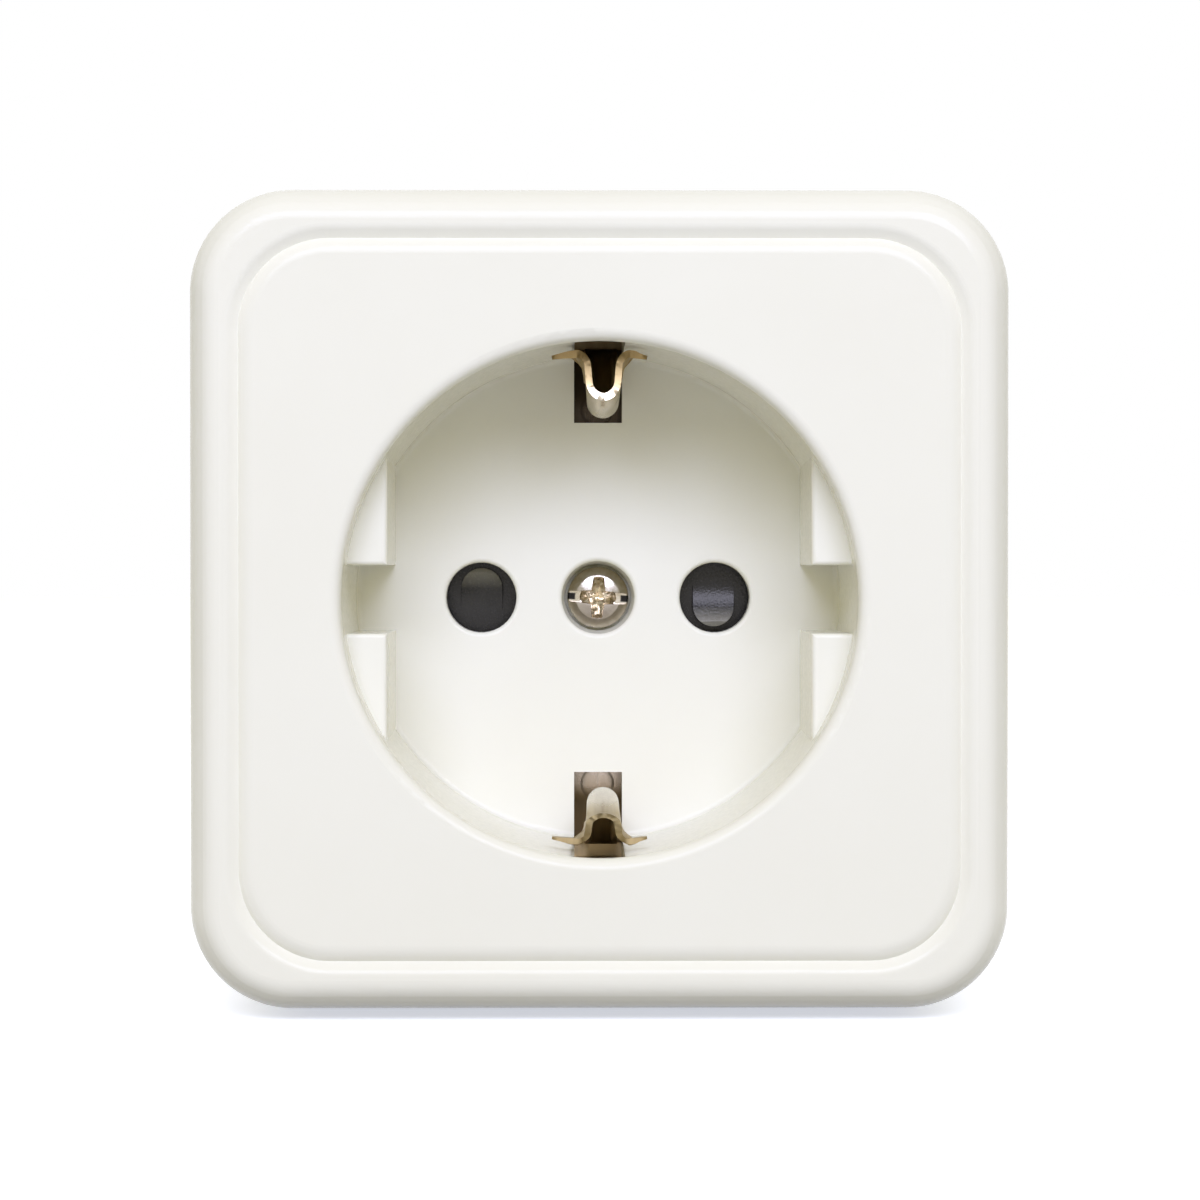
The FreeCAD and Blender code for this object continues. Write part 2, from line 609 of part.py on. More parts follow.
# Back plate that closes the shutter room, with flats that clear the feet of the clips
plate = new_body("shutter_plate")
sketch = new_sketch(plate, plate_back)
plate_flat = f"({slot_reach} - dim.plate_gap)"
plate_radius = f"({plate_flat} + dim.plate_bulge)"
plate_side = f"sqrt({plate_radius}^2 - {plate_flat}^2)"
outline(sketch, (
    (plate_side, f"-{plate_flat}", plate_radius, "0", "0"),
    (plate_side, plate_flat),
    (f"-{plate_side}", plate_flat, plate_radius, "0", "0"),
    (f"-{plate_side}", f"-{plate_flat}"),
))
pad(plate, sketch, "dim.plate_thickness")
sketch = new_sketch(plate, plate_back)
circle(sketch, "0", "0", "(dim.boss_diameter / 2 + dim.run_gap)")
circle(sketch, "0", "-(dim.spring_diameter / 2)", "(dim.spring_wire / 2 + dim.run_gap)")
for side in ("", "-"):
    circle(sketch, f"{side}{pin_place}", "0", "(dim.pin_hole / 2 + dim.run_gap)")
    circle(sketch, f"{side}dim.post_across", f"{side}dim.post_up", "(dim.post_screw / 2 + dim.free_gap)")
pocket(plate, sketch, "dim.plate_thickness", towards_front=True)

# Screws that hold the back plate to the posts
plate_screws = []
for side in ("", "-"):
    screw = new_body("plate_screw_body")
    screw_tip = f"({plate_front} + dim.post_screw_grip)"
    turned(screw, (
        ("0", screw_tip),
        ("(dim.post_screw / 4)", screw_tip),
        ("(dim.post_screw / 2)", f"({screw_tip} - dim.post_screw / 2)"),
        ("(dim.post_screw / 2)", plate_back),
        ("(dim.post_screw_head / 2)", plate_back),
        ("(dim.post_screw_head / 2)", f"({plate_back} - 0.7)"),
        ("(dim.post_screw_head / 3)", f"({plate_back} - 1.3)"),
        ("0", f"({plate_back} - 1.3)"),
    ))
    place(screw, f"{side}dim.post_across", f"{side}dim.post_up")
    plate_screws.append(screw)
group("shutter_plate_screws", plate_screws)

# Earth bridge that joins both clips behind the recess, with ends turned up behind the clips
bridge = new_body("earth_bridge")
sketch = new_sketch(bridge, bridge_back)
tab_near = f"({recess_outer_radius} + dim.tab_gap)"
tab_far = f"({tab_near} + dim.bridge_thickness)"
bridge_half = "(dim.bridge_width / 2)"
rectangle(sketch, f"-{bridge_half}", bridge_half, f"-{tab_far}", tab_far)
pad(bridge, sketch, "dim.bridge_thickness")
sketch = new_sketch(bridge, bridge_back)
for rise in ("", "-"):
    rectangle(sketch, f"-{bridge_half}", bridge_half, f"{rise}{tab_near}", f"{rise}{tab_far}")
pad(bridge, sketch, f"({front_back} - dim.tab_front_gap - {bridge_back})")
sketch = new_sketch(bridge, bridge_back)
circle(sketch, "0", "0", "(dim.screw_diameter / 2 + dim.free_gap)")
for rise in ("", "-"):
    circle(sketch, "0", f"{rise}{rivet_place}", "(dim.clip_rivet / 2 + dim.thread_gap)")
pocket(bridge, sketch, "dim.bridge_thickness", towards_front=True)


def earth_clip(label, half_turn):
    # A ribbed spring leaf: foot on the bridge, nose in the recess, winged front edge at the wall
    body = new_body(label)
    half_sheet = "dim.clip_sheet / 2"
    flange = clip_radius
    out_near = f"({flange} - {half_sheet})"
    out_far = f"({flange} + {half_sheet})"
    root = f"({flange} - dim.rib_root)"
    crest = f"({flange} - dim.rib_height + dim.rib_round)"
    tip_near = f"({flange} - dim.rib_height - {half_sheet})"
    tip_far = f"({flange} - dim.rib_height + {half_sheet})"
    wide = f"(dim.rib_round + {half_sheet})"
    slim = f"(dim.rib_round - {half_sheet})"
    tight = f"(dim.rib_root - {half_sheet})"
    loose = f"(dim.rib_root + {half_sheet})"
    section = new_sketch(body, bridge_front)
    outline(section, (
        (rib_half, out_near, tight, rib_half, root),
        (wide, root),
        (wide, crest, wide, "0", crest),
        ("0", tip_near, wide, "0", crest),
        (f"-{wide}", crest),
        (f"-{wide}", root, tight, f"-{rib_half}", root),
        (f"-{rib_half}", out_near),
        (f"-{rib_half}", out_far, loose, f"-{rib_half}", root),
        (f"-{slim}", root),
        (f"-{slim}", crest, slim, "0", crest),
        ("0", tip_far, slim, "0", crest),
        (slim, crest),
        (slim, root, loose, rib_half, root),
        (rib_half, out_far),
    ))
    nose_level = "(dim.cover_depth - dim.clip_nose_depth)"
    mouth_level = "(dim.cover_depth - dim.clip_front)"
    bend_level = f"({bridge_front} + dim.clip_foot_rise)"
    spine = new_sketch(body, "0", "YZ_Plane")
    foot_end = FreeCAD.Vector(-number(bridge_front), number(flange), 0)
    bend_start = FreeCAD.Vector(-number(bend_level), number(flange), 0)
    bend_round = number("dim.clip_foot_bend")
    bend_middle = bend_start - FreeCAD.Vector(0, bend_round, 0)
    nose_round = number("dim.clip_nose_round")
    nose_middle = FreeCAD.Vector(-number(nose_level), number(clip_nose) + nose_round, 0)
    mouth = FreeCAD.Vector(-number(mouth_level), number(clip_mouth), 0)
    lean = FreeCAD.Vector(-0.19, -0.98, 0)
    bend_end = bend_middle - FreeCAD.Vector(lean.x * -1, lean.y, 0) * bend_round
    nose_start = nose_middle + FreeCAD.Vector(0.19, -0.98, 0) * nose_round
    nose_end = nose_middle + FreeCAD.Vector(-0.3, -0.954, 0) * nose_round
    bend_mid = bend_middle + FreeCAD.Vector(-0.095, 0.9955, 0) * bend_round
    nose_mid = nose_middle + FreeCAD.Vector(-0.05, -0.99875, 0) * nose_round
    runs = (
        (Part.LineSegment(foot_end, bend_start), foot_end),
        (Part.Arc(bend_start, bend_mid, bend_end), bend_start),
        (Part.LineSegment(bend_end, nose_start), bend_end),
        (Part.Arc(nose_start, nose_mid, nose_end), nose_start),
        (Part.LineSegment(nose_end, mouth), nose_end),
    )
    edges = []
    ends = []
    for run, start in runs:
        edges.append(spine.addGeometry(run))
        ends.append(ends_of(spine, edges[-1], start))
    for place_now in range(4):
        spine.addConstraint(Sketcher.Constraint(
            "Tangent",
            edges[place_now], ends[place_now][1],
            edges[place_now + 1], ends[place_now + 1][0],
        ))
    spine.addConstraint(Sketcher.Constraint("Horizontal", edges[0]))
    hold(spine, edges[0], ends[0][0], f"-{bridge_front}", flange)
    row = spine.addConstraint(Sketcher.Constraint("DistanceX", -1, 1, edges[0], ends[0][1], bend_start.x))
    spine.setExpression(f"Constraints[{row}]", f"-{bend_level}")
    set_radius(spine, edges[1], "dim.clip_foot_bend")
    set_radius(spine, edges[3], "dim.clip_nose_round")
    hold(spine, edges[3], 3, f"-{nose_level}", f"({clip_nose} + dim.clip_nose_round)")
    hold(spine, edges[4], ends[4][1], f"-{mouth_level}", clip_mouth)
    doc.recompute()
    leaf = body.newObject("PartDesign::AdditivePipe", f"{body.Name}_leaf")
    leaf.Profile = section
    leaf.Spine = (spine, [f"Edge{n}" for n in range(1, 6)])
    foot = new_sketch(body, bridge_front)
    foot_half = "(dim.slot_width / 2 + dim.foot_margin)"
    rectangle(foot, f"-{foot_half}", foot_half, slot_reach, out_far)
    pad(body, foot, "dim.clip_sheet")
    wings = new_sketch(body, f"({mouth_level} - dim.wing_depth)")
    wing_middle = f"sqrt({clip_mouth}^2 + {rib_half}^2)"
    near = f"({wing_middle} - {half_sheet})"
    far = f"({wing_middle} + {half_sheet})"
    wing_root = f"({rib_half} - {half_sheet})"
    wing_tip = "(dim.wing_span / 2)"
    for side in ("", "-"):
        outline(wings, (
            (f"{side}{wing_root}", f"sqrt({near}^2 - {wing_root}^2)", near, "0", "0"),
            (f"{side}{wing_tip}", f"sqrt({near}^2 - {wing_tip}^2)"),
            (f"{side}{wing_tip}", f"sqrt({far}^2 - {wing_tip}^2)", far, "0", "0"),
            (f"{side}{wing_root}", f"sqrt({far}^2 - {wing_root}^2)"),
        ))
    pad(body, wings, "dim.wing_depth")
    hole = new_sketch(body, bridge_front)
    circle(hole, "0", rivet_place, "(dim.clip_rivet / 2 + dim.thread_gap)")
    pocket(body, hole, "dim.clip_sheet", towards_front=True)
    place(body, half_turn=half_turn)
    return body


earth_clip("earth_clip_upper", False)
earth_clip("earth_clip_lower", True)

# Rivets that hold the clips on the bridge
clip_rivets = []
for rise in ("", "-"):
    rivet = new_body("clip_rivet_body")
    turned(rivet, (
        ("0", f"({foot_front} + dim.rivet_head_height / 3)"),
        ("(dim.rivet_head / 3)", f"({foot_front} + dim.rivet_head_height / 3)"),
        ("(dim.rivet_head / 2)", foot_front),
        ("(dim.clip_rivet / 2)", foot_front),
        ("(dim.clip_rivet / 2)", bridge_back),
        ("(dim.rivet_head / 2)", bridge_back),
        ("(dim.rivet_head / 3)", f"({bridge_back} - dim.rivet_head_height)"),
        ("0", f"({bridge_back} - dim.rivet_head_height)"),
    ))
    place(rivet, "0", f"{rise}{rivet_place}")
    clip_rivets.append(rivet)
group("earth_clip_rivets", clip_rivets)

# Cover screw with a slot and a cross in its head
screw = new_body("cover_screw")
head_top = f"({screw_seat} + dim.screw_head_height)"
screw_tip = screw_end
turned(screw, (
    ("0", head_top),
    ("(dim.screw_head * 0.37)", head_top),
    ("(dim.screw_head * 0.46)", f"({head_top} - dim.screw_head_height * 0.18)"),
    ("(dim.screw_head / 2)", f"({head_top} - dim.screw_head_height * 0.5)"),
    ("(dim.screw_head / 2)", screw_seat),
    ("(dim.screw_diameter / 2)", screw_seat),
    ("(dim.screw_diameter / 2)", f"({screw_tip} + dim.screw_diameter / 4)"),
    ("(dim.screw_diameter / 4)", screw_tip),
    ("0", screw_tip),
))
sketch = new_sketch(screw, head_top)
rectangle(
    sketch,
    "-dim.screw_head", "dim.screw_head",
    "-(dim.screw_head * 0.085)", "(dim.screw_head * 0.085)",
)
pocket(screw, sketch, "(dim.screw_head_height * 0.4)")
sketch = new_sketch(screw, head_top)
rectangle(
    sketch,
    "-(dim.screw_head * 0.1)", "(dim.screw_head * 0.1)",
    "-(dim.screw_head * 0.35)", "(dim.screw_head * 0.35)",
)
pocket(screw, sketch, "(dim.screw_head_height * 0.65)")

# Base plate on the wall with contact chambers and terminal pedestals
base = new_body("base_plate")
sketch = new_sketch(base, "0")
rounded(sketch, base_half, base_half, "dim.base_corner")
pad(base, sketch, "dim.base_thickness")
sketch = new_sketch(base, base_front)
rounded(sketch, base_half, base_half, "dim.base_corner")
lip_inner = f"({base_half} - dim.lip_wall)"
rounded(sketch, lip_inner, lip_inner, "(dim.base_corner - dim.lip_wall)")
pad(base, sketch, "dim.lip_height")
sketch = new_sketch(base, base_front)
for side in ("", "-"):
    for rise in ("", "-"):
        circle(sketch, f"{side}{wall_screw_place}", f"{rise}{wall_screw_place}", "(dim.wall_boss / 2)")
pad(base, sketch, "dim.wall_boss_height")
chamber_in = f"({pin_place} - {sleeve_outer} - dim.chamber_room)"
chamber_high = f"(dim.tail_width / 2 + dim.chamber_room)"
pedestal_start = f"({pin_place} + {sleeve_outer} + dim.chamber_room)"
pedestal_end = "(dim.tail_reach + dim.pedestal_margin)"
sketch = new_sketch(base, base_front)
for side in ("", "-"):
    outline(sketch, (
        (f"{side}({chamber_in} - dim.chamber_wall)", f"-({chamber_high} + dim.chamber_wall)"),
        (f"{side}{pedestal_start}", f"-({chamber_high} + dim.chamber_wall)"),
        (f"{side}{pedestal_start}", f"-{chamber_high}"),
        (f"{side}{chamber_in}", f"-{chamber_high}"),
        (f"{side}{chamber_in}", chamber_high),
        (f"{side}{pedestal_start}", chamber_high),
        (f"{side}{pedestal_start}", f"({chamber_high} + dim.chamber_wall)"),
        (f"{side}({chamber_in} - dim.chamber_wall)", f"({chamber_high} + dim.chamber_wall)"),
    ))
pad(base, sketch, f"({sleeve_front} - dim.chamber_room - {base_front})")
sketch = new_sketch(base, base_front)
for side in ("", "-"):
    rectangle(
        sketch,
        f"{side}{pedestal_start}",
        f"{side}{pedestal_end}",
        f"-({chamber_high} + dim.chamber_wall)",
        f"({chamber_high} + dim.chamber_wall)",
    )
pad(base, sketch, f"(dim.tail_level - {base_front})")
link_half = "(dim.link_width / 2)"
link_end = "(dim.terminal_down + dim.clamp_width / 2 + dim.pedestal_margin)"
link_top = "(dim.link_width / 2)"
sketch = new_sketch(base, base_front)
rectangle(
    sketch,
    f"-({link_half} + dim.pedestal_margin)",
    f"({link_half} + dim.pedestal_margin)",
    f"-({link_end} + dim.pedestal_margin)",
    f"({link_top} + dim.pedestal_margin)",
)
pad(base, sketch, f"(dim.link_level - {base_front})")
sketch = new_sketch(base, "0")
for side in ("", "-"):
    for rise in ("", "-"):
        circle(sketch, f"{side}{wall_screw_place}", f"{rise}{wall_screw_place}", "(dim.wall_screw_hole / 2)")
rounded(sketch, "(dim.cable_width / 2)", "(dim.cable_height / 2)", "dim.base_thickness", "dim.cable_up")
pocket(base, sketch, f"({base_front} + dim.wall_boss_height)", towards_front=True)
thread_radius = "(dim.terminal_screw / 2 + dim.free_gap)"
sketch = new_sketch(base, "dim.tail_level")
for side in ("", "-"):
    circle(sketch, f"{side}dim.terminal_across", "0", thread_radius)
pocket(base, sketch, "(dim.tail_level - dim.base_thickness)")
sketch = new_sketch(base, "dim.link_level")
circle(sketch, "0", "-dim.terminal_down", thread_radius)
pocket(base, sketch, "(dim.link_level - dim.base_thickness)")
sketch = new_sketch(base, "0")
for side in ("", "-"):
    circle(sketch, f"{side}dim.contact_rivet_across", "0", "(dim.contact_rivet / 2 + dim.thread_gap)")
circle(sketch, "0", "0", "(dim.spigot_diameter / 2 + dim.thread_gap)")
pocket(base, sketch, "dim.tail_level", towards_front=True)
sketch = new_sketch(base, "0")
for side in ("", "-"):
    circle(sketch, f"{side}dim.contact_rivet_across", "0", "(dim.contact_rivet_head / 2 + dim.free_gap)")
circle(sketch, "0", "0", "(dim.spigot_diameter / 2 + dim.thread_gap + dim.clip_sheet * 2)")
pocket(base, sketch, "dim.back_pocket", towards_front=True)

# Earth pillar that the cover screw pulls the bridge onto, riveted through link and base
pillar = new_body("earth_pillar")
thread_bore = "(dim.screw_diameter / 2 + dim.thread_gap)"
thread_end = f"({screw_end} - dim.free_gap)"
turned(pillar, (
    (thread_bore, bridge_back),
    ("(dim.pillar_diameter / 2)", bridge_back),
    ("(dim.pillar_diameter / 2)", link_front),
    ("(dim.spigot_diameter / 2)", link_front),
    ("(dim.spigot_diameter / 2)", "dim.back_pocket"),
    ("(dim.spigot_diameter / 2 + dim.clip_sheet)", "dim.back_pocket"),
    ("(dim.spigot_diameter / 2 + dim.clip_sheet)", "(dim.back_pocket - dim.rivet_head_height)"),
    ("0", "(dim.back_pocket - dim.rivet_head_height * 1.5)"),
    ("0", thread_end),
    (thread_bore, thread_end),
))

# Earth link from the pillar to the earth terminal
link = new_body("earth_link")
sketch = new_sketch(link, "dim.link_level")
rectangle(sketch, f"-{link_half}", link_half, f"-{link_end}", link_top)
pad(link, sketch, "dim.link_thickness")
sketch = new_sketch(link, "dim.link_level")
circle(sketch, "0", "0", "(dim.spigot_diameter / 2 + dim.thread_gap)")
circle(sketch, "0", "-dim.terminal_down", "(dim.terminal_screw / 2 + dim.thread_gap)")
pocket(link, sketch, "dim.link_thickness", towards_front=True)


def contact(label, half_turn):
    # A split sleeve for a plug pin with a strip that carries the terminal
    body = new_body(label)
    sleeve = new_sketch(body, sleeve_back)
    circle(sleeve, pin_place, "0", sleeve_outer)
    circle(sleeve, pin_place, "0", "(dim.sleeve_bore / 2)")
    pad(body, sleeve, f"({sleeve_front} - {sleeve_back})")
    slit = new_sketch(body, sleeve_front)
    rectangle(
        slit,
        f"({pin_place} - {sleeve_outer} - {beyond})",
        pin_place,
        "-(dim.sleeve_slit / 2)",
        "(dim.sleeve_slit / 2)",
    )
    pocket(body, slit, f"({sleeve_front} - {sleeve_back})")
    strip = new_sketch(body, "dim.tail_level")
    rectangle(
        strip,
        f"({pin_place} + dim.sleeve_bore / 2 + dim.sleeve_wall / 2)",
        "dim.tail_reach",
        "-(dim.tail_width / 2)",
        "(dim.tail_width / 2)",
    )
    pad(body, strip, "dim.contact_sheet")
    holes = new_sketch(body, "dim.tail_level")
    circle(holes, "dim.contact_rivet_across", "0", "(dim.contact_rivet / 2 + dim.thread_gap)")
    circle(holes, "dim.terminal_across", "0", "(dim.terminal_screw / 2 + dim.thread_gap)")
    pocket(body, holes, "dim.contact_sheet", towards_front=True)
    doc.recompute()
    mouth = body.Tip
    lead = body.newObject("PartDesign::Chamfer", f"{body.Name}_lead")
    bore = number("dim.sleeve_bore / 2")
    lead.Base = (mouth, edges_at(
        mouth.Shape,
        number(sleeve_front),
        lambda edge: edge.Curve.TypeId == "Part::GeomCircle" and abs(edge.Curve.Radius - bore) < 1e-4,
    ))
    lead.setExpression("Size", "dim.sleeve_lead")
    place(body, half_turn=half_turn)
    return body


contact("neutral_contact", False)
contact("line_contact", True)

# Rivets that hold the contacts on their pedestals
contact_rivets = []
for side in ("", "-"):
    rivet = new_body("contact_rivet_body")
    turned(rivet, (
        ("0", f"({tail_front} + dim.rivet_head_height)"),
        ("(dim.contact_rivet_head / 3)", f"({tail_front} + dim.rivet_head_height)"),
        ("(dim.contact_rivet_head / 2)", tail_front),
        ("(dim.contact_rivet / 2)", tail_front),
        ("(dim.contact_rivet / 2)", "dim.back_pocket"),
        ("(dim.contact_rivet_head / 2)", "dim.back_pocket"),
        ("(dim.contact_rivet_head / 3)", "(dim.back_pocket - dim.rivet_head_height)"),
        ("0", "(dim.back_pocket - dim.rivet_head_height)"),
    ))
    place(rivet, f"{side}dim.contact_rivet_across", "0")
    contact_rivets.append(rivet)
group("contact_rivets", contact_rivets)


def terminal(name, strip_front, tip_level, across, up):
    # A slotted screw with a square wire clamp under its head
    clamp = new_body(f"{name}_clamp")
    sheet = new_sketch(clamp, strip_front)
    rounded(sheet, "(dim.clamp_width / 2)", "(dim.clamp_width / 2)", "dim.clamp_thickness")
    pad(clamp, sheet, "dim.clamp_thickness")
    hole = new_sketch(clamp, strip_front)
    circle(hole, "0", "0", "(dim.terminal_screw / 2 + dim.free_gap)")
    pocket(clamp, hole, "dim.clamp_thickness", towards_front=True)
    place(clamp, across, up)
    screw = new_body(f"{name}_terminal_screw")
    seat = f"({strip_front} + dim.clamp_thickness)"
    top = f"({seat} + dim.terminal_head_height)"
    turned(screw, (
        ("0", top),
        ("(dim.terminal_head * 0.42)", top),
        ("(dim.terminal_head / 2)", f"({top} - dim.terminal_head_height / 3)"),
        ("(dim.terminal_head / 2)", seat),
        ("(dim.terminal_screw / 2)", seat),
        ("(dim.terminal_screw / 2)", tip_level),
        ("0", tip_level),
    ))
    slot = new_sketch(screw, top)
    rectangle(slot, "-dim.terminal_head", "dim.terminal_head", "-(dim.terminal_slot / 2)", "(dim.terminal_slot / 2)")
    pocket(screw, slot, "(dim.terminal_head_height / 2)")
    place(screw, across, up)


side_tip = "(dim.base_thickness + dim.free_gap)"
terminal("neutral", tail_front, side_tip, "dim.terminal_across", "0")
terminal("line", tail_front, side_tip, "-dim.terminal_across", "0")
terminal("earth", link_front, side_tip, "0", "-dim.terminal_down")

doc.recompute()

# Each object must be sound before anything is written
pieces = (
    "front_cover", "cover_screw", "shutter_rotor", "shutter_spring", "shutter_plate",
    "shutter_plate_screws", "earth_clip_upper", "earth_clip_lower", "earth_clip_rivets", "earth_bridge",
    "earth_pillar", "earth_link", "base_plate", "line_contact", "neutral_contact", "contact_rivets",
    "line_clamp", "neutral_clamp", "earth_clamp", "line_terminal_screw", "neutral_terminal_screw",
    "earth_terminal_screw",
)
for item in doc.Objects:
    if "Invalid" in item.State or "Error" in item.State:
        raise RuntimeError(f"{item.Name} failed: {item.State}")
shapes = {}
for label in pieces:
    shape = doc.getObjectsByLabel(label)[0].Shape
    if shape.isNull() or not shape.isValid():
        raise RuntimeError(f"{label} has no sound shape")
    shapes[label] = shape
os.makedirs("parts", exist_ok=True)
for label, shape in shapes.items():
    shape.exportStep(f"parts/{label}.step")
    box = shape.BoundBox
    print(
        f"{label}: {len(shape.Solids)} solid, {shape.Volume:.1f} mm3, "
        f"x {box.XMin:.2f} {box.XMax:.2f}, level {-box.YMax:.2f} {-box.YMin:.2f}, z {box.ZMin:.2f} {box.ZMax:.2f}"
    )
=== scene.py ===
import json
import math
import bmesh
import bpy
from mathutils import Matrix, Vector


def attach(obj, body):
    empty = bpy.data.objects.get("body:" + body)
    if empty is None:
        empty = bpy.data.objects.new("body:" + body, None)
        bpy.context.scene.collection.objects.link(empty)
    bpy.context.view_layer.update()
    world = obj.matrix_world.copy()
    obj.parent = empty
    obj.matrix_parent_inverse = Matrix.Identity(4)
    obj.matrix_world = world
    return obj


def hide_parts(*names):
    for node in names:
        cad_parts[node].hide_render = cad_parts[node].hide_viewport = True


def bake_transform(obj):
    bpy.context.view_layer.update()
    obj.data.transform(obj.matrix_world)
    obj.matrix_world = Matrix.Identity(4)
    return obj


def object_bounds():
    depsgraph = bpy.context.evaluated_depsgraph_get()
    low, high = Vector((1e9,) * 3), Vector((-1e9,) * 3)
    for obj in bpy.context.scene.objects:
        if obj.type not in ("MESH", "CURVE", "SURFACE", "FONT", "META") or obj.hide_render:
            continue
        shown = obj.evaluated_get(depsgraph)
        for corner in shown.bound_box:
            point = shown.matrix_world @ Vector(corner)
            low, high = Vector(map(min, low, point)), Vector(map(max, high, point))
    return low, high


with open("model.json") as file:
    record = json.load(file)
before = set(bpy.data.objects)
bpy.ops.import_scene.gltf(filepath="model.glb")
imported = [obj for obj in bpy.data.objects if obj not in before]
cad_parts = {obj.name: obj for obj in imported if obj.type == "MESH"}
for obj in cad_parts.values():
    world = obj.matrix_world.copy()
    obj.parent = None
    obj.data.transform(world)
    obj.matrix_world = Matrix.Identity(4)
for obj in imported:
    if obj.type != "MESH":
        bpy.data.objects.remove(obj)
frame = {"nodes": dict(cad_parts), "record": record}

cadBox = [list(corner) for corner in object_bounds()]
mm = 0.001
nodes = frame["nodes"]
print("frame loaded,", len(nodes), "CAD nodes")


# small helpers

def clampShare(value):
    return min(1.0, max(0.0, value))


def easeStep(value, low, high):
    share = clampShare((value - low) / (high - low))
    return share * share * (3 - 2 * share)


def addObject(name, data):
    obj = bpy.data.objects.new(name, data)
    bpy.context.scene.collection.objects.link(obj)
    return obj


def remapped(tree, value, span, result=(0.0, 1.0), kind="LINEAR"):
    remap = tree.nodes.new("ShaderNodeMapRange")
    remap.interpolation_type = kind
    for socket, end in zip(("From Min", "From Max", "To Min", "To Max"), (*span, *result)):
        remap.inputs[socket].default_value = end
    tree.links.new(value, remap.inputs["Value"])
    return remap.outputs["Result"]


def axisPart(tree, coords, axis):
    split = tree.nodes.new("ShaderNodeSeparateXYZ")
    tree.links.new(coords, split.inputs[0])
    return split.outputs[axis]


# finishes: every one reads Object coordinates, so a pattern stays on its piece

pattern = {
    "span": (0.3, 0.7), "cloudDetail": 3.0, "grainDetail": 2.0, "stainDetail": 4.0, "stainRough": 0.6,
    "wearDetail": 1.5, "drawnDetail": 3.0, "plasticIor": 1.48,
}


def newFinish(name):
    finish = bpy.data.materials.new(name)
    finish.use_nodes = True
    tree = finish.node_tree
    shader = tree.nodes["Principled BSDF"]
    coords = tree.nodes.new("ShaderNodeTexCoord")
    return finish, tree, shader, coords.outputs["Object"]


def addNoise(tree, coords, scale, detail, stretch=(1, 1, 1), rough=0.5):
    mapping = tree.nodes.new("ShaderNodeMapping")
    mapping.inputs["Scale"].default_value = stretch
    tree.links.new(coords, mapping.inputs["Vector"])
    noise = tree.nodes.new("ShaderNodeTexNoise")
    noise.inputs["Scale"].default_value = scale
    noise.inputs["Detail"].default_value = detail
    noise.inputs["Roughness"].default_value = rough
    tree.links.new(mapping.outputs["Vector"], noise.inputs["Vector"])
    return noise.outputs["Fac"]


def toneRamp(tree, value, stops):
    ramp = tree.nodes.new("ShaderNodeValToRGB")
    points = ramp.color_ramp.elements
    while len(points) < len(stops):
        points.new(0.5)
    for point, (place, tone) in zip(points, stops):
        point.position = place
        point.color = (*tone, 1)
    tree.links.new(value, ramp.inputs["Fac"])
    return ramp.outputs["Color"]


def addBump(tree, shader, value, depth):
    bump = tree.nodes.new("ShaderNodeBump")
    bump.inputs["Strength"].default_value = 1.0
    bump.inputs["Distance"].default_value = depth
    tree.links.new(value, bump.inputs["Height"])
    tree.links.new(bump.outputs["Normal"], shader.inputs["Normal"])


def shareOf(tree, value, near, far):
    # nought at one distance in millimetres, one at the other
    return remapped(tree, value, (near * mm, far * mm))


def mixTones(tree, kind, share, first, second):
    mix = tree.nodes.new("ShaderNodeMix")
    mix.data_type = "RGBA"
    mix.blend_type = kind
    # the colour sockets come after those for numbers and vectors
    for socket, value in ((mix.inputs[0], share), (mix.inputs[6], first), (mix.inputs[7], second)):
        if isinstance(value, tuple):
            socket.default_value = (*value, 1)
        elif isinstance(value, float):
            socket.default_value = value
        else:
            tree.links.new(value, socket)
    return mix.outputs[2]


def timesAdd(tree, value, factor, extra):
    maths = tree.nodes.new("ShaderNodeMath")
    maths.operation = "MULTIPLY_ADD"
    tree.links.new(value, maths.inputs[0])
    maths.inputs[1].default_value = factor
    tree.links.new(extra, maths.inputs[2])
    return maths.outputs[0]


def mouldedFinish(name, look):
    finish, tree, shader, coords = newFinish(name)
    cloud = addNoise(tree, coords, look["cloudScale"], pattern["cloudDetail"])
    tone = toneRamp(tree, cloud, look["tones"])
    # painted highlight: a lighter tone on the highest levels, partly wear on the ramp tops and partly a painted
    # highlight there
    if "rubbedAndHighlightTone" in look:
        rubbedAndHighlight = shareOf(tree, axisPart(tree, coords, "Y"), *look["rubbedAndHighlightLevels"])
        tone = mixTones(tree, "MIX", rubbedAndHighlight, tone, look["rubbedAndHighlightTone"])
    tree.links.new(tone, shader.inputs["Base Color"])
    grain = addNoise(tree, coords, look["grainScale"], pattern["grainDetail"])
    tree.links.new(remapped(tree, grain, pattern["span"], look["roughness"]), shader.inputs["Roughness"])
    addBump(tree, shader, grain, look["grainDepth"])
    shader.inputs["IOR"].default_value = pattern["plasticIor"]
    shader.inputs["Specular IOR Level"].default_value = look["gloss"]
    shader.inputs["Specular Tint"].default_value = (*look.get("glossTint", (1, 1, 1)), 1)
    return finish


def metalFinish(name, look):
    finish, tree, shader, coords = newFinish(name)
    shader.inputs["Metallic"].default_value = 1.0
    stain = addNoise(tree, coords, look["stainScale"], pattern["stainDetail"], rough=pattern["stainRough"])
    tree.links.new(toneRamp(tree, stain, look["tones"]), shader.inputs["Base Color"])
    drawn = addNoise(tree, coords, look["drawnScale"], pattern["drawnDetail"], look["drawnStretch"])
    tree.links.new(remapped(tree, drawn, pattern["span"], look["roughness"]), shader.inputs["Roughness"])
    addBump(tree, shader, drawn, look["drawnDepth"])
    return finish


